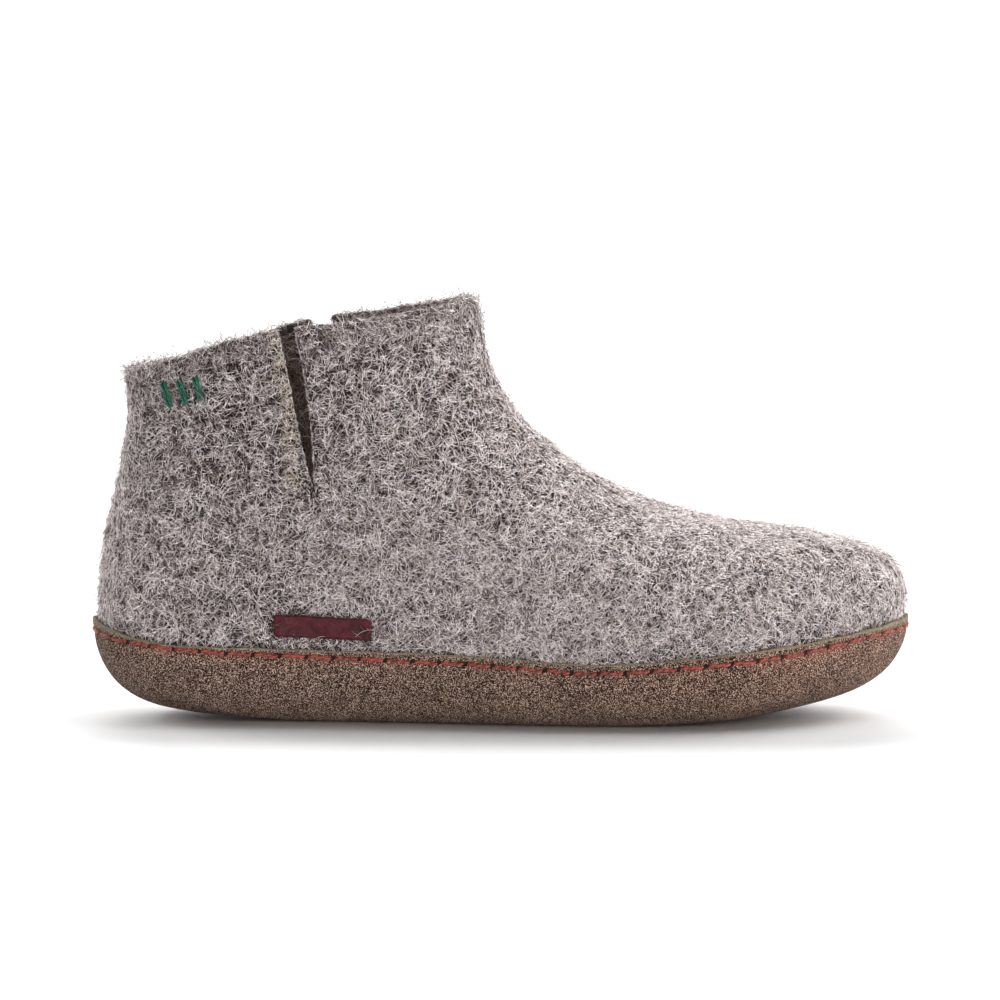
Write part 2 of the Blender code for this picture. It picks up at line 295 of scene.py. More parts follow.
class Wire:
    """One output socket in a node tree, with the arithmetic that the materials use."""

    def __init__(self, tree, socket=None):
        self.tree = tree
        self.socket = socket

    def node(self, kind, inputs=None, output=0, **settings):
        """Any node: its settings are set first, then a value or a wire goes to each named input."""
        made = self.tree.nodes.new(kind)
        for stop, (place, colour) in enumerate(settings.pop("stops", ())):
            stops = made.color_ramp.elements
            element = stops[stop] if stop < len(stops) else stops.new(place)
            element.position = place
            element.color = colour
        for name, value in settings.items():
            setattr(made, name, value)
        for name, value in (inputs or {}).items():
            if isinstance(value, Wire):
                self.tree.links.new(value.socket, made.inputs[name])
            else:
                made.inputs[name].default_value = value
        return Wire(self.tree, made.outputs[output])

    def maths(self, operation, first, second=0.0, clamp=False):
        """One Math node on two values or wires."""
        return self.node("ShaderNodeMath", {0: first, 1: second}, operation=operation, use_clamp=clamp)

    def __add__(self, other):
        return self.maths("ADD", self, other)

    def __sub__(self, other):
        return self.maths("SUBTRACT", self, other)

    def __rsub__(self, other):
        return self.maths("SUBTRACT", other, self)

    def __mul__(self, other):
        return self.maths("MULTIPLY", self, other)

    __radd__ = __add__
    __rmul__ = __mul__

    def clip(self, low, high):
        """From 0 where this wire is low or less to 1 where it is high or more."""
        return self.maths("ADD", (self - low) * (1 / (high - low)), 0.0, clamp=True)

    def colours(self, first, second):
        """Mixes two colours: the first where this wire is 0, the second where it is 1."""
        return self.node("ShaderNodeMix", {0: self, 6: first, 7: second}, output=2, data_type="RGBA")

    def ramp(self, *stops):
        """The colour that a ramp has at this wire's value. Each stop is a place and a colour."""
        return self.node("ShaderNodeValToRGB", {"Fac": self}, stops=stops)

    def relief(self, strength, distance):
        """The normal of a surface that this wire raises by up to a distance in metres."""
        return self.node("ShaderNodeBump", {"Height": self, "Strength": strength, "Distance": distance})

    def noise(self, scale, detail=2.0, roughness=0.5):
        """Noise in object coordinates, with about scale lumps to the metre."""
        place = self.node("ShaderNodeTexCoord", output="Object")
        sizes = {"Scale": scale, "Detail": detail, "Roughness": roughness}
        return self.node("ShaderNodeTexNoise", {"Vector": place, **sizes})

    def mark(self, name):
        """A number that the mesh keeps on its points."""
        return self.node("ShaderNodeAttribute", output="Fac", attribute_name=name)


print("a wire can give:", ", ".join(name for name in vars(Wire) if name[0] != "_"))

# %% Colours and materials


def rgb(red, green, blue):
    """A colour as seen on a screen, 0 to 255, turned into the linear values that shaders use."""
    seen = np.array([red, green, blue]) / 255
    linear = np.where(seen <= 0.04045, seen / 12.92, ((seen + 0.055) / 1.055) ** 2.4)
    return (*(float(value) for value in linear), 1.0)


def new_material(name, piece, roughness=0.5, gloss=0.5):
    """A Principled material on a piece, with its shader's inputs and a wire to start from."""
    material = bpy.data.materials.new(name)
    material.use_nodes = True
    piece.data.materials.append(material)
    inputs = material.node_tree.nodes["Principled BSDF"].inputs
    inputs["Roughness"].default_value = roughness
    inputs["Specular IOR Level"].default_value = gloss
    return inputs, Wire(material.node_tree)


def connect(wire, socket):
    """Links a wire to a shader's input."""
    wire.tree.links.new(wire.socket, socket)


print("middle grey on a screen is", round(rgb(128, 128, 128)[0], 3), "in a shader")

# %% [markdown]
# The collar is slit on both sides so that it opens for the foot. Each slit leans forward as it goes down and
# ends in a point. The back flap springs out a little at its cut edge. The front one tucks in, and its border
# curls under. Cutting with a Boolean would leave hard edges, so the felt is laid out as two flaps that share
# their border below the slits and have rounded edges above.

# %% Middle lines of the slits
SLIT_TOP_Z, BELLY_AT, BELLY_REACH = 150.0, 0.42, 0.40
SLITS = table(
    "side top_x tip_x tip_z front_gap rear_gap",
    (-1, 63.4, 75.2, 74.0, 2.4, 4.7),
    (1, 72.3, 82.5, 74.0, 3.8, 4.8),
)


def slit_x(slit, z):
    """Where a slit's middle line lies at a height: straight from the tip up, with a slight belly forward."""
    share = (z - slit["tip_z"]) / (SLIT_TOP_Z - slit["tip_z"])
    return slit["tip_x"] + (slit["top_x"] - slit["tip_x"]) * share + bump((share - BELLY_AT) / BELLY_REACH)


print("outer slit, 100 mm up: x", slit_x(SLITS[0], 100.0).round(1), "mm")

# %% [markdown]
# Wool is laid by hand and never quite evenly. Sculpting could give the lumps, but a sum of sine waves in
# random directions does it for every point at once, and the solids' form stays underneath.

# %% Lumps of hand-laid wool
WAVES = np.random.default_rng(7)
LUMP_HEIGHT = 0.34


def draw_waves(count, shortest, longest):
    """Sine waves in random directions: how fast each one turns along x, y and z, and where it starts."""
    turning = unit(WAVES.normal(size=(count, 3))) * (2 * np.pi / WAVES.uniform(shortest, longest, (count, 1)))
    return turning, WAVES.uniform(0, 2 * np.pi, count)


def wave_sum(places, waves):
    """The waves added up and divided by their usual height, so that the sum spreads about 1 from 0."""
    turning, start = waves
    return np.sin(places @ turning.T + start).sum(-1) / np.sqrt(len(start) / 2)


LUMP_WAVES = draw_waves(26, 14, 46)


def lumps(places):
    """Unevenness of hand-laid wool: waves of 14 to 46 mm, about one third mm high."""
    return LUMP_HEIGHT * wave_sum(places, LUMP_WAVES)


print(len(LUMP_WAVES[1]), "lump waves, together about", LUMP_HEIGHT, "mm high")

# %% The felt's own surface
SPRING_HEIGHT = 55
REAR_SPRING, REAR_REACH = 1.3, 13
FRONT_TUCK, TUCK_REACH = 0.8, 10
FRONT_CURL, CURL_REACH = 2.0, 3.2
INNER_DROP, INNER_AT, INNER_REACH = 3.0, 0.29, 0.30
OUTER_RISE, OUTER_AT, OUTER_REACH = 0.8, 0.22, 0.22
FRONT_DROP, FRONT_REACH, INSTEP_FULLNESS = 1.0, 0.35, 0.6


def spring(places, turn):
    """How far a flap stands off the last: most at the cut edge, dying away over about a centimetre. The
    front flap goes inwards instead, and its last few millimetres curl under."""
    off = np.zeros(places.shape[:-1])
    for slit in SLITS:
        height = np.clip((places[..., 2] - slit["tip_z"]) / SPRING_HEIGHT, 0, 1)
        away = places[..., 0] - slit_x(slit, places[..., 2])
        rear = REAR_SPRING * bell(away, REAR_REACH)
        front = -FRONT_TUCK * bell(away, TUCK_REACH) - FRONT_CURL * bell(away, CURL_REACH)
        mine = np.where(np.sin(turn) >= 0, -1.0, 1.0) == slit["side"]
        off = off + np.where(mine, height * np.where(away < 0, rear, front), 0.0)
    return off


def felt(level, turn, depth):
    """The last's surface plus lumps, the flaps' spring and a little fullness where it faces up, less a depth
    into the felt. The collar's back part hangs lower on the inner side of the foot and stands higher on the
    outer one, and its front edge sags a little."""
    places = skin(level, turn)
    outward = skin_normal(level, turn)
    calm = np.clip(np.asarray(level) / 0.1, 0, 1)
    full = INSTEP_FULLNESS * np.clip(outward[..., 2], 0, 1)
    off = calm * (lumps(places) + full) + spring(places, turn) - depth
    along = (1 - np.cos(turn)) / 2
    high = np.clip((level - 0.5) / 0.5, 0, 1)
    drop = INNER_DROP * bump((along - INNER_AT) / INNER_REACH)
    rise = OUTER_RISE * bump((along - OUTER_AT) / OUTER_REACH)
    back_part = np.where(np.sin(turn) < 0, drop, 0.0) - np.where(np.sin(turn) > 0, rise, 0.0)
    sag = high * (back_part + FRONT_DROP * bump((along - 1.0) / FRONT_REACH))
    return places + outward * off[..., None] - sag[..., None] * np.array([0, 0, 1.0])


print("felt at the toe, mm:", felt(np.array([0.2]), np.array([np.pi]), 0.0)[0].round(1))

# %% Where a slit crosses the rings


def turn_at(level, x):
    """The outer side's turn at which a ring passes a given x."""
    ring = ring_at(level)
    return np.arccos(np.clip(1 - 2 * (x - ring["back_x"]) / (ring["front_x"] - ring["back_x"]), -1, 1))


def slit_turn(level, slit, off):
    """The turn of a line beside a slit's middle, off mm in front of it, found in a few rounds because the
    slit leans and the height changes with the turn."""
    turn = turn_at(level, slit["tip_x"])
    for _ in range(5):
        turn = turn_at(level, slit_x(slit, skin(level, turn)[..., 2]) + off)
    return turn


levels_up = np.linspace(0.3, 1, 400)
slit_heights = skin(levels_up, slit_turn(levels_up, SLITS[0], 0.0))[:, 2]
TIP_LEVEL = float(np.interp(SLITS["tip_z"][0], slit_heights, levels_up))
print("slits end at level", round(TIP_LEVEL, 3))

# %% [markdown]
# Painted shade darkens the shaft and a band behind the slit, and painted light makes the foot paler. This
# could be painted by hand, but a formula of the place serves both the felt's skin and its hairs.

# %% Painted shade and light on the wool
SHAFT_FROM, SHAFT_BLEND, SHAFT_DARK = 58, 34, 0.20
QUARTER_X, QUARTER_REACH, QUARTER_DARK = 52, 36, 0.17
FOOT_FROM, FOOT_BLEND, FOOT_PALE = 85, 45, 0.09
TOES_FROM, TOES_BLEND = 165, 70


def painted_shade_and_light(places):
    """Painted shade and light on the wool, below 0 where it is darker: painted shade on the shaft and in a
    band behind the slit, and painted light on the foot."""
    x, z = places[..., 0], places[..., 2]
    shaft = np.clip((z - SHAFT_FROM) / SHAFT_BLEND, 0, 1)
    quarter = bump((x - QUARTER_X) / QUARTER_REACH)
    toes = np.clip((x - TOES_FROM) / TOES_BLEND, 0, 1)
    foot = np.clip((x - FOOT_FROM) / FOOT_BLEND, 0, 1) * (1 - toes) * (1 - shaft)
    return FOOT_PALE * foot - SHAFT_DARK * shaft - QUARTER_DARK * quarter * (1 - 0.5 * shaft)


print("wool tone, foot and shaft:", painted_shade_and_light(np.array([(190, -40, 45), (100, -36, 110)])).round(2))

# %% [markdown]
# The body is moulded in one piece, 4 mm thick. A Solidify modifier could thicken a single sheet, but it would
# leave a square rim and square cut edges. So each flap gets an outer and an inner grid that roll together at
# the rim, and a rounded strip closes each cut edge.

# %% Rows of the felt body
SOLE_SEAM_LEVEL, SLIT_FULLNESS, CUT_ROUND = -0.55, 2.2, 1.0
RIM_ROLL = np.radians((18, 36, 54, 72, 90))
low_rows = np.linspace(SOLE_SEAM_LEVEL, 0, 6, endpoint=False)
mid_rows = np.linspace(0, TIP_LEVEL, 52, endpoint=False)
high_rows = np.linspace(TIP_LEVEL, 1, 44)
level = np.r_[low_rows, mid_rows, high_rows, np.ones(len(RIM_ROLL))]
roll = np.r_[np.zeros(len(level) - len(RIM_ROLL)), RIM_ROLL]
tip_row = len(low_rows) + len(mid_rows)
opened = 1 - (1 - np.clip((level - TIP_LEVEL) / (1 - TIP_LEVEL), 0, 1)) ** SLIT_FULLNESS
in_from_cut = np.where(opened > 0, CUT_ROUND * (1 - np.cos(roll)), 0)


def cut_turn(slit, way):
    """The turn of a flap's cut edge on every row: way is 1 for the front flap and -1 for the rear one."""
    gap = slit["front_gap"] if way > 0 else slit["rear_gap"]
    return slit_turn(level, slit, way * (opened * gap + in_from_cut))


print("felt rows:", len(level), "of which", len(level) - tip_row, "reach the slits")

# %% The felt body
RIM, CUT_SWELL = 1.2, 0.7
FLAP_COLUMNS = {"front": 150, "rear": 64}


def flap_points(first, last, columns):
    """Outer and inner grids of one flap between two edge turns, and their rounded cut edges. At the rim the
    two faces roll together along a half circle."""
    share = np.linspace(0, 1, columns + 1)
    share = share - 0.5 * np.sin(2 * np.pi * share) / (2 * np.pi)
    turn = first[:, None] + (last - first)[:, None] * share
    inset = (FELT / 2 * (1 - np.cos(roll)))[:, None]
    lift = np.array([0, 0, 1.0]) * (RIM * np.sin(roll))[:, None, None]
    outer = felt(level[:, None], turn, inset) + lift
    inner = felt(level[:, None], turn, FELT - inset) + lift
    edges = []
    for column, way in ((0, -1), (-1, 1)):
        near, far = outer[tip_row:, column], inner[tip_row:, column]
        sideways = unit(outer[tip_row:, column] - outer[tip_row:, column - way])
        through = np.linspace(0, 1, 6)[:, None]
        swell = CUT_SWELL * opened[tip_row:, None, None] * np.sin(np.pi * through)
        edges.append(near[:, None] + (far - near)[:, None] * through + sideways[:, None] * swell)
    return outer, inner, edges


def felt_body():
    """Both flaps with their cut edges, and a strip underneath that joins the outer face to the inner one."""
    grids = []
    outside = []
    heights = []
    outer_slit, inner_slit = SLITS
    flaps = {
        "front": (cut_turn(outer_slit, 1), 2 * np.pi - cut_turn(inner_slit, 1)),
        "rear": (-cut_turn(inner_slit, -1), cut_turn(outer_slit, -1)),
    }
    for name, (first, last) in flaps.items():
        outer, inner, edges = flap_points(first, last, FLAP_COLUMNS[name])
        under = np.stack([outer[0], inner[0]])
        shown_on = (1.0, 0.0, 0.0, 1.0, 1.0)
        rows_on = (level, level, level[:2], level[tip_row:], level[tip_row:])
        for grid, shown, rows in zip((outer, inner, under, *edges), shown_on, rows_on):
            grids.append(grid)
            outside.append(np.full(grid.shape[:2], shown).ravel())
            heights.append((rows[:, None] + np.zeros(grid.shape[:2])).ravel())
    sizes = np.r_[0, np.cumsum([grid.shape[0] * grid.shape[1] for grid in grids])]
    quads = np.concatenate([grid_quads(*grid.shape[:2], first) for grid, first in zip(grids, sizes)])
    points = np.concatenate([grid.reshape(-1, 3) for grid in grids])
    marks = {"outside": np.concatenate(outside), "height": np.concatenate(heights)}
    # The tone mark holds painted shade on the shaft and behind the slit, and painted light on the foot.
    marks["tone"] = painted_shade_and_light(points)
    return make_object("felt_body", points, quads, marks=marks)


body = felt_body()
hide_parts("felt_upper")

# %% [markdown]
# Felt is grey because pale and dark wool are carded together, so it is mottled in patches of a few
# millimetres and flecked with single fibres. A picture of felt would need a flat map of the whole body. Noise
# in object coordinates needs none, so it mottles the skin under the hairs, at three sizes, and gives a bump
# that reads as matted wool.

# %% Felt skin
inputs, wire = new_material("felt_skin", body, roughness=0.95, gloss=0.15)
patches = wire.noise(150.0, detail=4.0, roughness=0.6)
flecks = wire.noise(1500.0, detail=3.0, roughness=0.7)
grit = wire.noise(3200.0, detail=1.0, roughness=0.6)
# The tone mark adds the painted shade of the shaft and the band behind the slit, and the painted light of the
# foot.
tone = (patches * 0.14 + flecks * 0.36 + grit * 0.70 + wire.mark("tone") * 0.12).clip(0.52, 0.72)
skin_colour = tone.ramp((0.0, rgb(10, 6, 5)), (0.5, rgb(56, 45, 42)), (1.0, rgb(182, 170, 168)))
inside_colour = tone.colours(rgb(70, 57, 50), rgb(196, 174, 158))
# Painted shade: the inner face is painted darker in a band just under the rim.
painted_rim_shade = wire.mark("height").clip(0.975, 0.995)
inside_colour = painted_rim_shade.colours(inside_colour, rgb(60, 50, 44))
connect(wire.mark("outside").colours(inside_colour, skin_colour), inputs["Base Color"])
connect((flecks * 0.7 + grit * 0.5).relief(1.0, 0.0009), inputs["Normal"])
print("felt skin: three sizes of noise")

# %% [markdown]
# Two kinds of thin things lie on this boot: sewing thread, which is a round tube along a path, and wool
# fibre, which is so fine that four corners are enough for each straight bit of it. Bevelled curves could give
# both, but then each hair would have dozens of faces, and there are more than a hundred thousand hairs.

# %% Tubes and slivers along paths
PLY_SWELL = 0.2


def tubes(paths, radius, up, sides, plies=0, twist=0.0):
    """A closed tube round each path: a ring of points at every inner path point and a single point at both
    ends. radius is given for each path point. With plies, the ring's radius swells that many times round it
    and the swelling turns along the path, as in twisted thread. paths is tubes x points x 3. The last result
    is 1 on a ply's crest and -1 between two plies."""
    count, steps, _ = paths.shape
    ahead = unit(np.gradient(paths, axis=1))
    across = unit(np.cross(ahead, up[:, None]))
    upright = np.cross(across, ahead)
    angle = np.linspace(0, 2 * np.pi, sides, endpoint=False)
    ply = np.cos(plies * angle[None] - twist * np.arange(steps)[:, None])
    reach = (radius[:, :, None] * (1 + (PLY_SWELL if plies else 0) * ply))[:, 1:-1, :, None]
    around = across[:, 1:-1, None] * np.cos(angle)[:, None] + upright[:, 1:-1, None] * np.sin(angle)[:, None]
    rings = paths[:, 1:-1, None] + reach * around
    points = np.concatenate([paths[:, :1], rings.reshape(count, -1, 3), paths[:, -1:]], axis=1)
    inner = steps - 2
    j = np.arange(sides)
    after = (j + 1) % sides
    ring = 1 + np.arange(inner - 1)[:, None] * sides
    walls = np.stack([ring + j, ring + after, ring + sides + after, ring + sides + j], -1)
    last = 1 + (inner - 1) * sides
    first_fan = np.stack([np.zeros_like(j), 1 + after, 1 + j], -1)
    last_fan = np.stack([np.full_like(j, points.shape[1] - 1), last + j, last + after], -1)
    start = np.arange(count)[:, None, None] * points.shape[1]
    quads = (walls.reshape(1, -1, 4) + start).reshape(-1, 4)
    fans = (np.concatenate([first_fan, last_fan])[None] + start).reshape(-1, 3)
    crest = np.tile(np.r_[-1, ply[1:-1].ravel(), -1], count)
    return points.reshape(-1, 3), quads, fans, crest


SLIVER_FACES = np.array([(0, 1, 2), (0, 3, 1), (0, 2, 3), (1, 3, 2)])


def slivers(paths, width, up):
    """A closed four-cornered sliver along each step of each path. It starts as a short edge that leans one
    way and ends as one that leans the other way, so it looks equally wide all along. paths is hairs x points
    x 3 and width is one number for each hair."""
    start, end = paths[:, :-1], paths[:, 1:]
    ahead = unit(end - start)
    across = unit(np.cross(ahead, up[:, None]))
    upright = np.cross(across, ahead)
    reach = width[:, None, None] * 0.5
    first = (across + upright) * reach
    last = (across - upright) * reach
    points = np.stack([start + first, start - first, end + last, end - last], axis=2).reshape(-1, 3)
    return points, (SLIVER_FACES[None] + 4 * np.arange(len(points) // 4)[:, None, None]).reshape(-1, 3)


print("a sliver has", len(SLIVER_FACES), "faces")

# %% [markdown]
# Hairs grow on the outside of the felt and thinly inside the collar, not under the sole or the label. Blender
# could scatter them, but drawing their roots here, triangle by triangle, lets each place have its own weight.

# %% Where hairs grow
INSIDE_SHARE, INSIDE_FROM, INSIDE_BLEND, RIM_LEVEL = 0.6, 70, 40, 0.97
LABEL_X, LABEL_Z, LABEL_LONG, LABEL_HIGH, LABEL_TILT = 77.4, 32.2, 32.0, 7.0, np.radians(-2.2)
LABEL_SLOPE, BESIDE_LABEL, ABOVE_LABEL = 0.04, 0.6, 0.4
CUT_MIDDLE, CUT_HALF, ABOVE_TIP = 0.8, 2.2, 4


def read(source, name, width, kind=np.float32):
    """One array of a mesh's own data, with a row for each item."""
    values = np.empty(len(source) * width, kind)
    source.foreach_get(name, values)
    return values.reshape(-1, width)


def past_label(places):
    """How far places lie past the label's ends and past its long sides, below 0 where they don't."""
    from_label = places - (LABEL_X, 0, LABEL_Z)
    past_end = np.abs(from_label[:, 0]) - LABEL_LONG / 2
    past_side = np.abs(from_label[:, 2] + LABEL_SLOPE * from_label[:, 0]) - LABEL_HIGH / 2
    return past_end, past_side


mesh = body.data
mesh.calc_loop_triangles()
triangles = read(mesh.loop_triangles, "vertices", 3, np.int32)
skin_points = read(mesh.vertices, "co", 3).astype(float) * 1000 + MIDDLE
skin_normals = read(mesh.vertex_normals, "vector", 3).astype(float)
is_outside = read(mesh.attributes["outside"].data, "value", 1)[:, 0]
ring_height = read(mesh.attributes["height"].data, "value", 1)[:, 0]

corner = skin_points[triangles]
area = np.linalg.norm(np.cross(corner[:, 1] - corner[:, 0], corner[:, 2] - corner[:, 0]), axis=1) / 2
centre = corner.mean(1)
outer_share = is_outside[triangles].mean(1)
above_sole = centre[:, 2] > smooth(EDGE["x"], EDGE["z"], centre[:, 0]) - 1.0
past_end, past_side = past_label(centre)
on_label = (past_end < BESIDE_LABEL) & (past_side < ABOVE_LABEL) & (centre[:, 1] < 0)
near_rim = np.clip((centre[:, 2] - INSIDE_FROM) / INSIDE_BLEND, 0, 1)
grows_outside = area * above_sole * ~on_label * (outer_share > 0.5)
grows_inside = area * (outer_share <= 0.5) * near_rim * INSIDE_SHARE
at_rim = ring_height[triangles].mean(1) > RIM_LEVEL
# Painted highlight: a band behind the back flap's cut edge of the outer slit, where warm fibres gather.
behind_cut = slit_x(SLITS[0], centre[:, 2]) - SLITS[0]["rear_gap"] - centre[:, 0]
highlight_on_cut = (np.abs(behind_cut - CUT_MIDDLE) < CUT_HALF) & (centre[:, 1] < 0)
highlight_on_cut &= centre[:, 2] > SLITS[0]["tip_z"] + ABOVE_TIP
print("felt to cover, sq cm:", round(float((area * above_sole * (outer_share > 0.5)).sum()) / 100))

# %% [markdown]
# Carding never mixes wool fully, so pale and dark fibres gather in patches of a few millimetres. The roots
# are drawn here and can't ask a shader for its noise, so the patches are sine waves, as the lumps are.

# %% Patches of pale and dark wool
HEATHER_WAVES = draw_waves(40, 3, 11)


def heather(places):
    """How pale the wool is at a place: waves of 3 to 11 mm, above 0 where it is paler."""
    return wave_sum(places, HEATHER_WAVES)


print("heather spread:", heather(skin_points[::50]).std().round(2))

# %% [markdown]
# The hairs make felt look like felt: thousands of fine fibres lie on it criss-cross, pale over dark, and a
# few stand off and catch the light along the outline. Particle hair would not survive an export, so each
# fibre is a chain of one to three slivers, and all fibres of one shade are one mesh. Each shade has its own
# row: how many fibres, how pale, how many slivers each, how long and wide, how far they arch off the skin or
# stand up, and how much they gather in the pale patches and the painted light (or in the dark patches and the
# painted shade, when negative). The inside of the collar grows mostly dark ones. A shade is one plain dye,
# because a fibre is finer than a pixel and all the variety lies between fibres.

# %% Shades of wool
FIBRES = np.array(
    [
        ("pale", 20000, 252, 243, 242, 2, 2.6, 6.6, 0.125, 0.34, 0.0, 0.17),
        ("pale_short", 24000, 250, 240, 238, 1, 1.2, 3.2, 0.14, 0.0, 0.0, 0.17),
        ("light", 14000, 212, 198, 196, 2, 2.4, 6.0, 0.12, 0.28, 0.0, 0.10),
        ("light_short", 12500, 204, 190, 187, 1, 1.2, 3.2, 0.14, 0.0, 0.0, 0.10),
        ("grey", 4000, 150, 133, 129, 2, 2.2, 5.0, 0.13, 0.24, 0.0, -0.10),
        ("grey_short", 8000, 142, 125, 121, 1, 1.2, 3.2, 0.14, 0.0, 0.0, -0.10),
        ("dark", 8500, 38, 26, 23, 2, 2.0, 5.0, 0.12, 0.28, 0.0, -0.22),
        ("dark_short", 22000, 34, 23, 20, 1, 1.0, 3.0, 0.13, 0.0, 0.0, -0.22),
        ("warm", 1800, 204, 188, 164, 2, 1.8, 5.0, 0.14, 0.34, 0.0, 0.10),
        ("fuzz_pale", 5000, 176, 166, 163, 3, 1.6, 8.0, 0.085, 0.0, 0.50, 0.20),
        ("fuzz_dark", 4500, 96, 85, 82, 3, 1.6, 8.0, 0.085, 0.0, 0.50, -0.20),
    ],
    dtype=[("shade", "U12"), ("count", int)]
    + [(name, float) for name in "red green blue".split()]
    + [("steps", int)]
    + [(name, float) for name in "shortest longest width arch stand gather".split()],
)
print(len(FIBRES), "shades,", FIBRES["count"].sum(), "fibres")

# %% Room for a fibre
AT_SLIT, AT_LABEL, FULL_LENGTH_AT = 0.50, 0.30, 4


def room(root):
    """How long fibres may be beside a slit or the label: a part at its edge, 1 a few millimetres away."""
    free = np.ones(len(root))
    for slit in SLITS:
        ahead = root[:, 0] - slit_x(slit, root[:, 2])
        away = np.where(ahead > 0, ahead - slit["front_gap"], -ahead - slit["rear_gap"])
        beside = (root[:, 2] > slit["tip_z"] - 1) & (root[:, 1] * slit["side"] > 0)
        share = np.clip(away / FULL_LENGTH_AT + AT_SLIT, AT_SLIT, 1)
        free = np.where(beside, np.minimum(free, share), free)
    away = np.maximum(*past_label(root))
    share = np.clip(away / FULL_LENGTH_AT + AT_LABEL, AT_LABEL, 1)
    return np.where(root[:, 1] < 0, np.minimum(free, share), free)


label_edge = np.array([(LABEL_X, -40.0, LABEL_Z + LABEL_HIGH / 2)])
print("share of its length that a fibre has at the label's edge:", room(label_edge)[0].round(2))

# %% Fibres of wool
BROAD_PULL = 9.0
LIFTED_SHARE = 0.12
PALE_INSIDE = 0.45
FUZZ_AT_RIM, PAINTED_HIGHLIGHT_PULL = 8.0, 32.0
BEND, MOST_BEND, FUZZ_CURL = 0.22, 0.36, 2.6
START_RISE, END_RISE, LIFTED_RISE = (-0.1, 0.25), (-0.05, 0.35), (0.4, 1.5)
ARCH_SPREAD, STAND_SPREAD, WIDTH_SPREAD = (0.2, 1.4), (0.15, 1.0), (0.75, 1.25)


def fibres(row, seed):
    """Roots are drawn by area, weighted by the wool's patches and by the painted shade and light, and the
    warm shade gathers on the painted highlight behind a cut edge. A fibre runs along a random direction in
    the skin's plane and bends sideways as the square of the distance. A lying one arches between its two
    ends, and about one in eight has its far end lifted. A standing one is rooted at its start and curls away."""
    rng = np.random.default_rng(seed)
    count = row["count"]
    weight = grows_outside + grows_inside * (1.0 if row["gather"] < 0 else PALE_INSIDE)
    # The mix follows the heather patches and, pulled by BROAD_PULL, the painted shade and light of the shaft,
    # the band behind the slit and the foot.
    weight = weight * np.exp(row["gather"] * (heather(centre) + BROAD_PULL * painted_shade_and_light(centre)))
    weight = weight * np.where(at_rim & (row["stand"] > 0), FUZZ_AT_RIM, 1.0)
    # Painted highlight: the warm fibres gather on the band behind the outer slit's back cut edge.
    weight = weight * np.where(highlight_on_cut & (row["shade"] == "warm"), PAINTED_HIGHLIGHT_PULL, 1.0)
    chosen = rng.choice(len(weight), count, p=weight / weight.sum())
    share = rng.dirichlet((1, 1, 1), count)
    root = (corner[chosen] * share[..., None]).sum(1)
    up = unit((skin_normals[triangles[chosen]] * share[..., None]).sum(1))
    ahead = unit(np.cross(up, rng.normal(size=root.shape)))
    aside = np.cross(up, ahead)
    free = room(root) ** (2 if row["stand"] else 1)
    length = (rng.uniform(row["shortest"], row["longest"], count) * free)[:, None]
    bend = np.clip(rng.normal(0, BEND, count), -MOST_BEND, MOST_BEND)[:, None]
    t = np.linspace(0, 1, row["steps"] + 1)[None]
    if row["stand"]:
        rise = row["stand"] * rng.uniform(*STAND_SPREAD, (count, 1)) * length * t**1.2 - 0.1
        bow = FUZZ_CURL * bend * t * t
    else:
        is_lifted = rng.random(count) < LIFTED_SHARE
        lifted = np.where(is_lifted, rng.uniform(*LIFTED_RISE, count), rng.uniform(*END_RISE, count))
        lifted = (lifted * room(root))[:, None]
        rise = rng.uniform(*START_RISE, (count, 1)) * (1 - t) + lifted * t
        rise = rise + row["arch"] * rng.uniform(*ARCH_SPREAD, (count, 1)) * 4 * t * (1 - t)
        bow = 4 * bend * t * (1 - t)
        t = t - 0.5
    paths = (
        root[:, None]
        + ahead[:, None] * (length * t)[..., None]
        + aside[:, None] * (length * bow)[..., None]
        + up[:, None] * rise[..., None]
    )
    return slivers(paths, row["width"] * rng.uniform(*WIDTH_SPREAD, count), up)


for number, row in enumerate(FIBRES):
    piece = make_object(f"wool_{row['shade']}", *fibres(row, 100 + number), weld=False)
    inputs, wire = new_material(f"wool_{row['shade']}", piece, roughness=0.8, gloss=0.2)
    inputs["Base Color"].default_value = rgb(row["red"], row["green"], row["blue"])

# %% [markdown]
# The sole is one piece of suede cut with its rough side out, wetted and turned up round the felt, so it has
# no separate side wall. The sewing draws it in along a line just under its edge, and the free lip above the
# seam stands off again. Sculpting could give that, but as a stack of rings like the felt, with rows close
# together where the seam runs, its groove follows the same measured line as the stitches.

# %% Sewing line and its holes
STITCH_PITCH, LIP_DROP = 8.7, 0.6
SEAM = table(
    "x drop",
    *((2, 2.6), (10, 2.1), (22, 1.6), (34, 1.7), (48, 2.2), (80, 2.7)),
    *((130, 3.0), (190, 3.2), (235, 3.2), (258, 2.2), (269, 2.2)),
)


def seam_drop(turn):
    """How far the sewing line runs below the sole edge: less round the heel and toe than along the sides."""
    return smooth(SEAM["x"], SEAM["drop"], skin(0.0, turn)[..., 0])


def drop_level(drop, turn):
    """The level that lies a given height below the sole edge."""
    edge_height = skin(0.0, turn)[..., 2] - SKIN_FLOOR
    return -np.arcsin(np.clip(drop / edge_height, 0.001, 1)) / (np.pi / 2)


def on_suede(drop, turn, off):
    """A point off the suede's outer face, a given height below its edge."""
    return off_skin(drop_level(drop, turn), turn, GAP + SUEDE + off)


fine_turns = np.linspace(0, 2 * np.pi, 4001)
seam = on_suede(seam_drop(fine_turns), fine_turns, np.zeros(4001))
seam_run = np.r_[0, np.cumsum(np.linalg.norm(np.diff(seam, axis=0), axis=1))]
STITCHES = int(round(seam_run[-1] / STITCH_PITCH))
pitch = seam_run[-1] / STITCHES
hole_turns = np.interp((np.arange(STITCHES) + 0.5) * pitch, seam_run, fine_turns)
print(f"seam: {seam_run[-1]:.0f} mm round, {STITCHES} stitches")

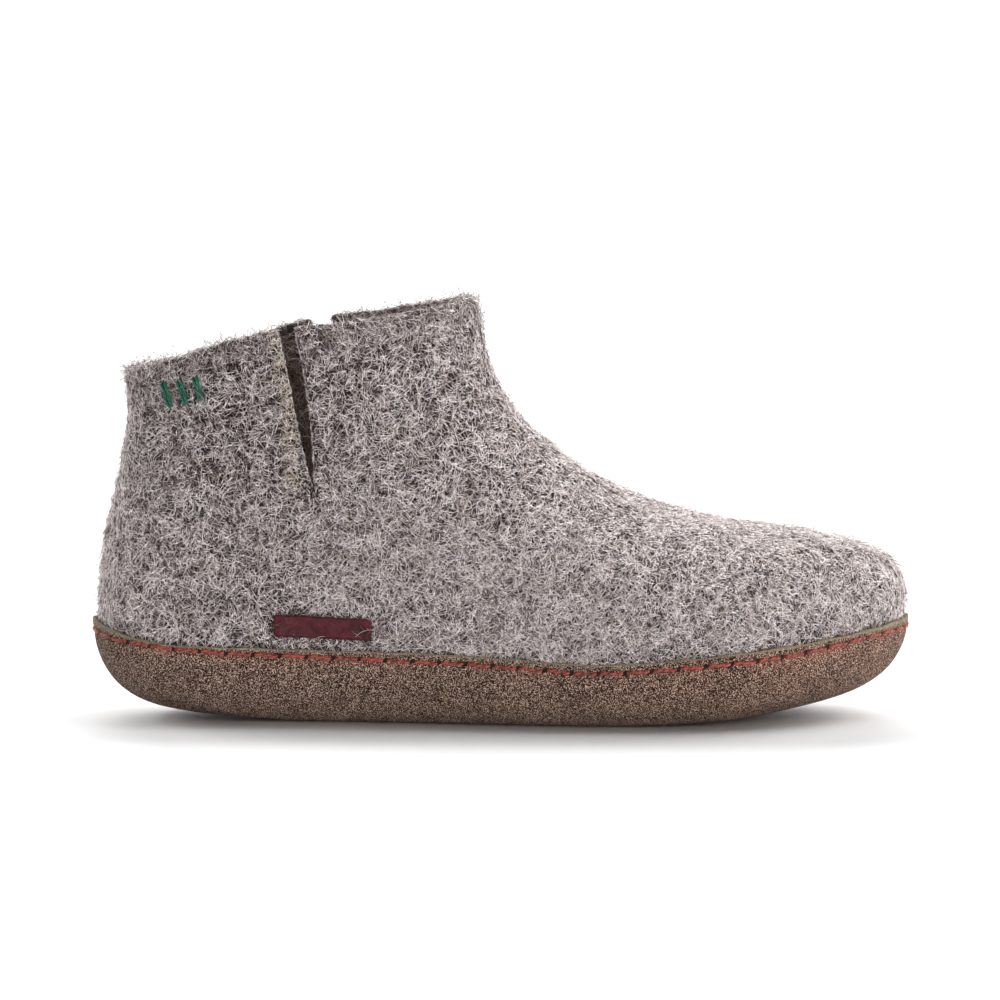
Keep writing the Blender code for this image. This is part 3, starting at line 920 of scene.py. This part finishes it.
# %% Relief of the suede
SOLE_COLUMNS, ROW_STEP = 640, 0.42
GROOVE, HOLE_GROOVE, GROOVE_REACH, HOLE_REACH = 0.40, 0.25, 1.1, 1.5
LIP, LIP_REACH, LIP_PULLED = 0.20, 1.0, 0.4
DIMPLE, DIMPLE_BELOW, DIMPLE_REACH = 0.12, 2.2, 1.4
turns = np.interp(np.linspace(0, seam_run[-1], SOLE_COLUMNS + 1), seam_run, fine_turns)
top_drops = LIP_DROP + np.r_[0, np.arange(0.3, 4.9, ROW_STEP)]
run_here = np.interp(turns, fine_turns, seam_run)
to_hole = (run_here / pitch) % 1 - 0.5


def suede_off(drop):
    """How far the suede's face lies off its plain form at a height below the edge: a groove along the seam,
    deeper at each hole, a lip that stands out above it, and a soft dimple below each hole."""
    along = drop[:, None] - seam_drop(turns)[None]
    holes = bell(to_hole * pitch, HOLE_REACH)[None]
    groove = -(GROOVE + HOLE_GROOVE * holes) * bell(along, GROOVE_REACH)
    lip = LIP * bell(drop[:, None] - LIP_DROP, LIP_REACH) * (1 - LIP_PULLED * holes)
    dimple = DIMPLE * (1 - np.abs(to_hole)[None] * 2) * bell(along - DIMPLE_BELOW, DIMPLE_REACH)
    return groove + lip - dimple


print("groove at its deepest, mm:", suede_off(top_drops).min().round(2))

# %% The suede sole
HEEL_LIFT, HEEL_X, TOE_LIFT, TOE_X, LIFT_REACH = 1.3, 34, 1.7, 245, 40
EDGE_END_RISE, EDGE_RIPPLE, SPINE_ROWS = 1.4, 0.14, 8
lower_levels = np.linspace(0, 1, 17)[1:]


def lift_ends(rows):
    """Raises the underside a little at the heel and the toe, where wear and wetting have curled it."""
    x = rows[..., 0]
    lift = HEEL_LIFT * bump((x - HEEL_X) / LIFT_REACH) + TOE_LIFT * bump((x - TOE_X) / LIFT_REACH)
    rows[..., 2] += lift * np.clip(1.1 - rows[..., 2] / 14, 0, 1)
    return rows


def to_spine(ring, rows):
    """Rows that close a ring onto the footprint's middle line, keeping its height."""
    spine = ring.copy()
    spine[:, 1] = smooth(PLAN["x"], PLAN["centre"], ring[:, 0])
    return spine + (ring - spine) * np.linspace(1, 0, rows + 1)[1:, None, None]


def sole_rings():
    """Rings from the middle of the bottom, out and up to the cut edge, over it and down the inner face."""
    edge_wave = EDGE_END_RISE * np.cos(turns) ** 12
    edge_wave = edge_wave + EDGE_RIPPLE * np.sin(run_here * np.pi / pitch)
    edge_wave = edge_wave + EDGE_RIPPLE * np.sin(run_here / 9.0)
    upper_rows = lift_ends(on_suede(top_drops[:, None], turns[None], suede_off(top_drops)))
    seam_level = drop_level(top_drops[-1], turns)
    down = seam_level + (-1 - seam_level) * lower_levels[:, None]
    lower_rows = off_skin(down, turns[None], GAP + SUEDE)
    lower_rows[..., 2] = np.maximum(lower_rows[..., 2], 0)
    lower_rows = lift_ends(lower_rows)
    inner_top = drop_level(LIP_DROP, turns)
    inner_levels = inner_top + (-1 - inner_top) * np.linspace(0, 1, 9)[:, None]
    inner_rows = lift_ends(off_skin(inner_levels, turns[None], GAP))
    edge = (upper_rows[:1] + inner_rows[:1]) / 2
    edge[..., 2] += 0.2 + edge_wave
    upper_rows[0, :, 2] += edge_wave
    inner_rows[0, :, 2] += edge_wave
    bottom, inside = to_spine(lower_rows[-1], SPINE_ROWS), to_spine(inner_rows[-1], SPINE_ROWS)
    return np.concatenate([bottom[::-1], lower_rows[::-1], upper_rows[::-1], edge, inner_rows, inside])


rings = sole_rings()
edge_row = SPINE_ROWS + len(lower_levels) + len(top_drops)
row_number = np.arange(len(rings))[:, None] * np.ones(SOLE_COLUMNS + 1)
cut_edge = np.clip(1.1 - np.abs(row_number - edge_row + 0.6) / 1.5, 0, 1)
below_edge = (edge_row - 1 - row_number) * ROW_STEP + LIP_DROP
dyed = bell(below_edge - seam_drop(turns) - 0.8, 1.3) * (row_number < edge_row)
sole_marks = {"cut_edge": cut_edge, "dyed": dyed}
sole = make_object("suede_cup", rings, grid_quads(*rings.shape[:2]), marks=sole_marks)
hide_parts("suede_sole")

# %% [markdown]
# Suede is speckled close up: the tips of its nap catch the light and the pores between stay dark. It is a
# little redder towards the toe, and painted light makes it paler where it meets the floor. The thread has
# bled a little of its dye into it, and the bare cut edge is paler and greyer. Real nap would take more hairs
# than the felt has, so fine noise stands for it, and two marks on the points say where the dye and the cut
# edge are.

# %% Suede
inputs, wire = new_material("suede_nap", sole, roughness=0.95, gloss=0.1)
place = wire.node("ShaderNodeTexCoord", output="Object")
along_foot = wire.node("ShaderNodeSeparateXYZ", {"Vector": place}, output="X")
height = wire.node("ShaderNodeSeparateXYZ", {"Vector": place}, output="Z")
nap = wire.noise(2900.0, detail=1.0, roughness=0.6)
clumps = wire.noise(520.0)
shades = wire.noise(70.0, detail=3.0)
speck = (nap * 0.86 + clumps * 0.08 + shades * 0.06).clip(0.415, 0.60)
suede_colour = speck.ramp(
    (0.0, rgb(16, 9, 6)),
    (0.40, rgb(54, 38, 31)),
    (0.70, rgb(98, 77, 67)),
    (1.0, rgb(202, 174, 156)),
)
warmed = wire.node(
    "ShaderNodeMix",
    {0: 1.0, 6: suede_colour, 7: rgb(255, 224, 208)},
    output=2,
    data_type="RGBA",
    blend_type="MULTIPLY",
)
redder = (along_foot * 7.0 + shades * 0.6).clip(0.2, 1.5) * 0.35
suede_colour = redder.colours(suede_colour, warmed)
# Painted light: the suede is painted paler in its lowest 11 mm, where it meets the floor.
painted_light_low = (1 - (height * 1000.0).clip(0.0, 11.0)) * 0.14
suede_colour = painted_light_low.colours(suede_colour, rgb(132, 114, 104))
dye = wire.mark("dyed") * shades.clip(0.42, 0.72) * 0.42
suede_colour = dye.colours(suede_colour, rgb(136, 66, 52))
bare = wire.mark("cut_edge") * (0.45 + nap * 0.5)
suede_colour = bare.colours(suede_colour, rgb(150, 142, 120))
connect(suede_colour, inputs["Base Color"])
connect((nap + clumps * 0.5).relief(1.0, 0.0008), inputs["Normal"])
print("suede: nap, clumps, dust and a bare edge")

# %% [markdown]
# The sole is sewn on by hand with thick waxed thread in one row of back stitches. Each stitch comes out of
# one hole, lies along the suede and goes down beside the next hole. A bevelled curve would give plain cord.
# Twisted two-ply tubes on the measured seam line also have crests. Their crests are painted a little paler
# and the hollows between the plies darker, as painted light and shade, and the holes are small dark cups of
# painted shade sunk between the stitches.

# %% Rust thread
STITCH_POINTS, STITCH_RADIUS = 22, 0.54
STITCH_START, STITCH_SPAN, STITCH_DIVE = 0.07, 0.86, 0.14


def seam_place(run, off, drop):
    """A point near the seam at a distance along it, off the suede and a given height below the edge."""
    turn = np.interp(run % seam_run[-1], seam_run, fine_turns)
    return on_suede(drop, turn, off)


def seam_stitches(seed):
    """Each stitch spans most of a pitch. It rises out of its hole in its first seventh, lies on the suede and
    dives in its last seventh, with a little slant and slack of its own. It is tighter at heel and toe."""
    rng = np.random.default_rng(seed)
    t = np.linspace(0, 1, STITCH_POINTS)[None]
    start = (np.arange(STITCHES) + 0.5)[:, None] * pitch
    run = start + pitch * (STITCH_START + STITCH_SPAN * t) + rng.normal(0, 0.12, (STITCHES, 1))
    dive = np.clip(np.minimum(t, 1 - t) / STITCH_DIVE, 0, 1)
    tight = 0.85 + 0.4 * np.cos(run / seam_run[-1] * 2 * np.pi) ** 12
    off = np.sin(dive * np.pi / 2) - tight + 0.06 * rng.normal(size=(STITCHES, 1))
    slant = rng.normal(0.18, 0.12, (STITCHES, 1)) * (t - 0.5) * 2
    drop = seam_drop(np.interp(run % seam_run[-1], seam_run, fine_turns)) + slant
    paths = seam_place(run, off, drop + rng.normal(0, 0.10, (STITCHES, 1)))
    up = skin_normal(drop_level(seam_drop(hole_turns), hole_turns), hole_turns)
    radius = STITCH_RADIUS * np.ones((STITCHES, STITCH_POINTS)) * rng.uniform(0.92, 1.08, (STITCHES, 1))
    return tubes(paths, radius, up, 10, plies=2, twist=0.85)


points, quads, fans, crest = seam_stitches(21)
stitches = make_object("sole_stitches", points, quads, fans, marks={"crest": crest}, weld=False)
inputs, wire = new_material("rust_thread", stitches, roughness=0.7)
worn = wire.noise(760.0, detail=3.0)
fuzz = wire.noise(3800.0)
# Painted light and shade: the crest mark makes the thread's crests a little paler and the hollows between its
# plies darker, on top of the noise of wear.
lit = (worn * 0.8 + fuzz * 0.5 + wire.mark("crest") * 0.1).clip(0.48, 0.83)
connect(lit.colours(rgb(36, 14, 11), rgb(164, 64, 50)), inputs["Base Color"])
connect(fuzz.relief(0.5, 0.0002), inputs["Normal"])

# %% Needle holes
HOLE_LONG, HOLE_WIDE, HOLE_DEPTH, TOE_WIDENING = 1.30, 0.76, 0.25, 0.45
LEAN_ALONG, LEAN_UP = 0.75, 0.66


def needle_holes():
    """A shallow cup of painted shade at each hole: rings that shrink from an oval rim to a point a little
    below.
    Round the toe, where the suede is pulled most, the holes are wider."""
    around = np.linspace(0, 2 * np.pi, 13)
    shrink = np.array([1.0, 0.85, 0.5, 0.0])
    sunk = np.array([-0.60, -0.34, -0.42, -0.55])
    along_cut = shrink[:, None] * np.cos(around) * HOLE_LONG
    across_cut = shrink[:, None] * np.sin(around) * HOLE_WIDE
    wide = (1 + TOE_WIDENING * np.clip(skin(0.0, hole_turns)[:, 0] / 80 - 2, 0, 1))[:, None, None]
    run = (np.arange(STITCHES) + 0.5)[:, None, None] * pitch
    run = run + wide * (along_cut * LEAN_ALONG - across_cut * LEAN_UP)
    drop = seam_drop(hole_turns)[:, None, None] - wide * (along_cut * LEAN_UP + across_cut * LEAN_ALONG)
    off = sunk[None, :, None] + np.zeros_like(run)
    cups = np.stack([seam_place(run, off, drop), seam_place(run, off - HOLE_DEPTH, drop)], axis=1)
    rows, columns = run.shape[1:]
    face = rows * columns
    j = np.arange(columns - 1)
    rim = np.stack([j, j + face, j + face + 1, j + 1], -1)
    one = np.concatenate([grid_quads(rows, columns), grid_quads(rows, columns, face, flip=True), rim])
    return cups, (one[None] + np.arange(STITCHES)[:, None, None] * 2 * face).reshape(-1, 4)


holes = make_object("needle_holes", *needle_holes())
inputs, wire = new_material("hole_shadow", holes, roughness=1.0)
connect(wire.noise(1500.0).clip(0.3, 0.7).colours(rgb(16, 5, 4), rgb(40, 16, 12)), inputs["Base Color"])

# %% [markdown]
# The label is a strip of burgundy leather sewn low on the heel quarter. A Shrinkwrap modifier could press it
# onto the felt, but then it would take up every lump. So it is laid out flat as a rounded rectangle, and each
# of its points is found from the side on the last, which is smooth.

# %% Leather label
LABEL_THICK, LABEL_ROUND = 1.1, 0.7


def outer_side_at(x, z):
    """Level and turn of the outer side at a place seen from that side, by halving the levels."""
    low = np.zeros_like(x)
    high = np.ones_like(x)
    for _ in range(34):
        middle = (low + high) / 2
        below = skin(middle, turn_at(middle, x))[..., 2] < z
        low = np.where(below, middle, low)
        high = np.where(below, high, middle)
    return low, turn_at(low, x)


def label_sheet(top):
    """One face of the label: rows across and columns along a rounded rectangle. Its outermost points lie at
    nearly half the thickness, so that the two faces meet in a rounded edge."""
    a = np.r_[-1, np.linspace(-0.985, 0.985, 61), 1][None]
    b = np.r_[-1, np.linspace(-0.93, 0.93, 15), 1][:, None]
    up = b * LABEL_HIGH / 2
    corner_drop = np.clip(np.abs(up) - (LABEL_HIGH / 2 - LABEL_ROUND), 0, None)
    half = LABEL_LONG / 2 - LABEL_ROUND + np.sqrt(np.clip(LABEL_ROUND**2 - corner_drop**2, 0, None))
    along = a * half
    up = up + np.zeros_like(along)
    x = LABEL_X + along * np.cos(LABEL_TILT) - up * np.sin(LABEL_TILT)
    z = LABEL_Z + along * np.sin(LABEL_TILT) + up * np.cos(LABEL_TILT)
    inside = (np.abs(a) < 1) & (np.abs(b) < 1)
    swell = 0.20 * np.sin(along / 3.1 + 0.6 + 0.5 * up) + 0.12 * np.sin(along / 1.3 - up)
    swell = swell + 0.35 * bell(along + 13.4 - 0.25 * up, 0.9)
    off = np.where(inside, (LABEL_THICK + swell) if top else 0.0, LABEL_THICK * 0.45)
    return off_skin(*outer_side_at(x, z), GAP + off)


faces = [label_sheet(True), label_sheet(False)]
rows, columns = faces[0].shape[:2]
label = make_object(
    "label",
    np.stack(faces),
    grid_quads(rows, columns),
    grid_quads(rows, columns, rows * columns, flip=True),
)
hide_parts("leather_label")

# %% [markdown]
# The leather is dyed unevenly and has a fine grain. Noise alone would look like suede, so Voronoi cells give
# the grain and noise the uneven dye, which also makes the shine a little uneven.

# %% Burgundy leather
inputs, wire = new_material("burgundy_leather", label, gloss=0.18)
place = wire.node("ShaderNodeTexCoord", output="Object")
grain = wire.node("ShaderNodeTexVoronoi", {"Vector": place, "Scale": 1500.0, "Randomness": 1.0})
mottle = wire.noise(320.0, detail=4.0)
leather_colour = (mottle * 0.8 + grain * 0.3).clip(0.34, 0.74).colours(rgb(34, 6, 11), rgb(80, 25, 33))
connect(leather_colour, inputs["Base Color"])
connect(0.42 + mottle * 0.25, inputs["Roughness"])
connect((grain * 0.5 + mottle).relief(0.7, 0.0005), inputs["Normal"])
print("leather: grain and uneven dye")

# %% [markdown]
# Three short stitches hold the label at its ends, and a few hairs have strayed across it. Both are tubes that
# come out of the felt, pass over the leather and go in again, so one function makes them and a row of numbers
# says where each begins and ends.

# %% Stitches that hold the label
THREAD_POINTS, THREAD_DEPTH = 14, 0.8


def surface_thread(ends, radius, seed, bow=0.0):
    """Threads laid on the outer side between pairs of places seen from that side: x, z, x, z and how far
    off the felt. They rise out of the surface, arch and dive again, and bow out sideways by a share of their
    length."""
    rng = np.random.default_rng(seed)
    t = np.linspace(0, 1, THREAD_POINTS)[None]
    run_x, run_z = ends[:, 2:3] - ends[:, 0:1], ends[:, 3:4] - ends[:, 1:2]
    aside = bow * np.sin(np.pi * t)
    x = ends[:, 0:1] + run_x * t - run_z * aside
    z = ends[:, 1:2] + run_z * t + run_x * aside
    at_level, at_turn = outer_side_at(x, z)
    risen = np.sin(np.clip(np.minimum(t, 1 - t) / 0.2, 0, 1) * np.pi / 2)
    off = ends[:, 4:5] - THREAD_DEPTH + (THREAD_DEPTH + radius * 0.7) * risen
    up = skin_normal(at_level, at_turn)
    paths = skin(at_level, at_turn) + up * off[..., None]
    width = radius * (0.7 + 0.3 * np.sin(np.pi * t)) * rng.uniform(0.9, 1.1, (len(x), 1))
    return tubes(paths, width, up[:, THREAD_POINTS // 2], 10, plies=2, twist=0.9)


def on_the_label(*ends):
    """Ends measured from the label's middle, as places on the boot, on top of the leather."""
    middle = (LABEL_X, LABEL_Z, LABEL_X, LABEL_Z)
    return np.insert(np.array(ends) + middle, 4, GAP + LABEL_THICK, axis=1)


label_ends = on_the_label((-16.6, 0.9, -13.8, 0.7), (12.2, 0.9, 13.6, -0.6), (14.2, -1.6, 16.4, -1.0))
label_thread = make_object("label_stitches", *surface_thread(label_ends, 0.30, 5)[:3], weld=False)
inputs, wire = new_material("burgundy_thread", label_thread, roughness=0.6)
connect(wire.noise(2500.0).clip(0.3, 0.7).colours(rgb(34, 8, 11), rgb(88, 34, 38)), inputs["Base Color"])

# %% Stray fibres on the label
stray_ends = on_the_label(
    (10.2, -3.6, 16.6, -0.4),
    (13.4, 3.4, 16.8, 1.2),
    (-16.4, -0.4, -14.0, 0.3),
    (-3.0, -4.2, 1.5, -2.9),
)
stray = make_object("stray_fibres", *surface_thread(stray_ends, 0.065, 6, bow=0.14)[:3], weld=False)
inputs, wire = new_material("stray_wool", stray, roughness=0.8)
inputs["Base Color"].default_value = rgb(190, 168, 160)

# %% [markdown]
# High on the back flap sit three short stitches of green wool, side by side and slanted, as a plain
# decoration. They are laid on the felt in the same way as the label's own stitches, only thicker, and each
# is sewn with the yarn taken double.

# %% Green stitches
green_x = 26.8 + 5.2 * np.arange(3)
green_z = 107.2 + 1.1 * np.arange(3)
one_yarn = np.stack([green_x - 1.8, green_z + 4.4, green_x + 1.0, green_z - 4.6, np.full(3, 0.7)], axis=1)
green_ends = np.concatenate([one_yarn, one_yarn + np.array([1.15, 0.4, 0.8, 0.6, 0.1])])
points, quads, fans, crest = surface_thread(green_ends, 0.56, 9, bow=0.03)
green = make_object("green_stitches", points, quads, fans, marks={"crest": crest}, weld=False)
inputs, wire = new_material("green_wool", green, roughness=0.85)
fuzz = wire.noise(1900.0, detail=3.0)
# Painted light and shade: the crest mark makes the yarn's crests a little paler and the hollows between its
# plies darker.
lit = (fuzz + wire.mark("crest") * 0.14).clip(0.3, 0.75)
connect(lit.colours(rgb(2, 34, 26), rgb(20, 100, 76)), inputs["Base Color"])
connect(fuzz.relief(0.6, 0.0003), inputs["Normal"])

# %% [markdown]
# Inside lies a felt footbed, dished up at its border. It could be cut from a flat sheet and pressed in, but
# its rings are the lowest ones of the last, so it lies in the sole without any fitting. It only shows from
# above, through the collar, and gets the same mottled wool, a little darker from wear.

# %% Footbed
BED_SPINE_ROWS, BED_LUMPS = 12, 0.25
bed_levels = np.linspace(-1, -0.566, 9)[:, None]
bed_turns = np.linspace(0, 2 * np.pi, 241)[None]
under = skin(bed_levels, bed_turns)
over = off_skin(bed_levels, bed_turns, -FOOTBED)
over = np.concatenate([over[::-1], to_spine(over[0], BED_SPINE_ROWS)])
over[..., 2] += BED_LUMPS * lumps(over * 1.7)
bed_rings = np.concatenate([to_spine(under[0], BED_SPINE_ROWS)[::-1], under, over])
footbed = make_object("footbed", bed_rings, grid_quads(*bed_rings.shape[:2]))
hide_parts("felt_insole")

inputs, wire = new_material("footbed_felt", footbed, roughness=0.95, gloss=0.15)
patches = wire.noise(160.0, detail=4.0)
flecks = wire.noise(1100.0, detail=3.0, roughness=0.7)
bed_colour = (patches * 0.5 + flecks * 0.6).clip(0.4, 0.75).colours(rgb(74, 64, 60), rgb(164, 152, 148))
connect(bed_colour, inputs["Base Color"])
connect(flecks.relief(0.8, 0.0006), inputs["Normal"])

# %% [markdown]
# The studio is a pale floor with a low lit wall all round it. A photographer lights a boot from many sides
# and still wants a white floor with only a short soft shadow, which takes many reflectors. Light linking does
# it with two sets of lamps. One set lights the boot alone: two big boxes behind, one on the toe's side, one
# above that reaches the footbed, and two low in front. The other set lights the floor alone, mostly from low
# behind, and there only the sole casts a shadow. The camera stands far off on the outer side, a little higher
# than the collar, so that a narrow strip of the far rim shows.

# %% Floor and wall
FLOOR_REACH, WALL_RADIUS, WALL_HEIGHT = 20, 12, 2.0


def studio_piece(name, points, faces, paint):
    """A mesh of the studio with a new Principled material, and that shader's inputs."""
    mesh = bpy.data.meshes.new(name)
    mesh.from_pydata(points, [], faces)
    made = bpy.data.objects.new(name, mesh)
    bpy.context.scene.collection.objects.link(made)
    material = bpy.data.materials.new(paint)
    material.use_nodes = True
    mesh.materials.append(material)
    return made, material.node_tree.nodes["Principled BSDF"].inputs


floor_corners = [(FLOOR_REACH * x, FLOOR_REACH * y, 0) for x, y in ((-1, -1), (1, -1), (1, 1), (-1, 1))]
floor, inputs = studio_piece("floor", floor_corners, [(0, 1, 2, 3)], "white_paper")
inputs["Base Color"].default_value = (0.84, 0.84, 0.84, 1)
inputs["Roughness"].default_value = 0.9

wall_turns = np.linspace(0, 2 * np.pi, 65)
wall_feet = np.stack([WALL_RADIUS * np.cos(wall_turns), WALL_RADIUS * np.sin(wall_turns), 0 * wall_turns], -1)
wall_points = np.concatenate([wall_feet, wall_feet + (0, 0, WALL_HEIGHT)])
wall, inputs = studio_piece("wall", wall_points.tolist(), grid_quads(2, 65, flip=True).tolist(), "lit_wall")
wall.visible_shadow = False
inputs["Emission Color"].default_value = (1, 1, 1, 1)
inputs["Emission Strength"].default_value = 1.02

sky = bpy.data.worlds.new("white_room")
sky.use_nodes = True
sky.node_tree.nodes["Background"].inputs["Color"].default_value = (1, 1, 1, 1)
sky.node_tree.nodes["Background"].inputs["Strength"].default_value = 0.03
bpy.context.scene.world = sky
print("studio:", 2 * FLOOR_REACH, "m of floor, wall", WALL_HEIGHT, "m high")

# %% Lamps
LAMPS = (
    ("boot", "back_heel_box", 130, 34, 2.9, 40),
    ("boot", "back_toe_box", 48, 38, 1.6, 40),
    ("boot", "toe_box", 8, 24, 2.6, 36),
    ("boot", "top_box", 200, 82, 0.75, 30),
    ("boot", "front_toe_box", 315, 5, 2.2, 14),
    ("boot", "front_box", 270, 5, 1.18, 14),
    ("floor", "floor_top_box", 90, 80, 0.675, 50),
    ("floor", "floor_toe_box", 45, 18, 3.0, 34),
    ("floor", "floor_back_box", 92, 18, 3.6, 34),
    ("floor", "floor_heel_box", 136, 18, 2.6, 34),
    ("floor", "floor_high_box", 30, 54, 0.9, 34),
    ("floor", "floor_front_box", 300, 34, 0.25, 34),
)
linked = {"boot": bpy.data.collections.new("lit_boot"), "floor": bpy.data.collections.new("lit_floor")}
for piece in bpy.context.scene.objects:
    if piece.type == "MESH" and piece != wall:
        linked["floor" if piece == floor else "boot"].objects.link(piece)
sole_shadow = bpy.data.collections.new("sole_shadow")
sole_shadow.objects.link(sole)
for lights, name, around, up, strength, width in LAMPS:
    light = bpy.data.lights.new(name, "SUN")
    light.energy = strength
    light.angle = np.radians(width)
    lamp = bpy.data.objects.new(name, light)
    around, up = np.radians((around, up))
    towards = Vector((np.cos(around) * np.cos(up), np.sin(around) * np.cos(up), np.sin(up)))
    lamp.rotation_euler = towards.to_track_quat("Z", "Y").to_euler()
    lamp.light_linking.receiver_collection = linked[lights]
    if lights == "floor":
        lamp.light_linking.blocker_collection = sole_shadow
    bpy.context.scene.collection.objects.link(lamp)
print("lamps:", ", ".join(name for _, name, *_ in LAMPS))

# %% Camera
SENSOR, FRAME_WIDTH = 36, 0.3315
CAMERA_PLACE, CAMERA_AIM = Vector((-0.0006, -1.6, 0.204)), Vector((-0.0006, 0.0, 0.0708))
camera_data = bpy.data.cameras.new("camera")
camera = bpy.data.objects.new("camera", camera_data)
camera.location = CAMERA_PLACE
view_line = CAMERA_PLACE - CAMERA_AIM
camera.rotation_euler = view_line.to_track_quat("Z", "Y").to_euler()
camera_data.sensor_width = SENSOR
camera_data.lens = SENSOR * view_line.length / FRAME_WIDTH
bpy.context.scene.collection.objects.link(camera)
bpy.context.scene.camera = camera
bpy.context.scene.view_settings.view_transform = "Standard"
print("camera", round(view_line.length, 3), "m away, lens", round(camera_data.lens), "mm")
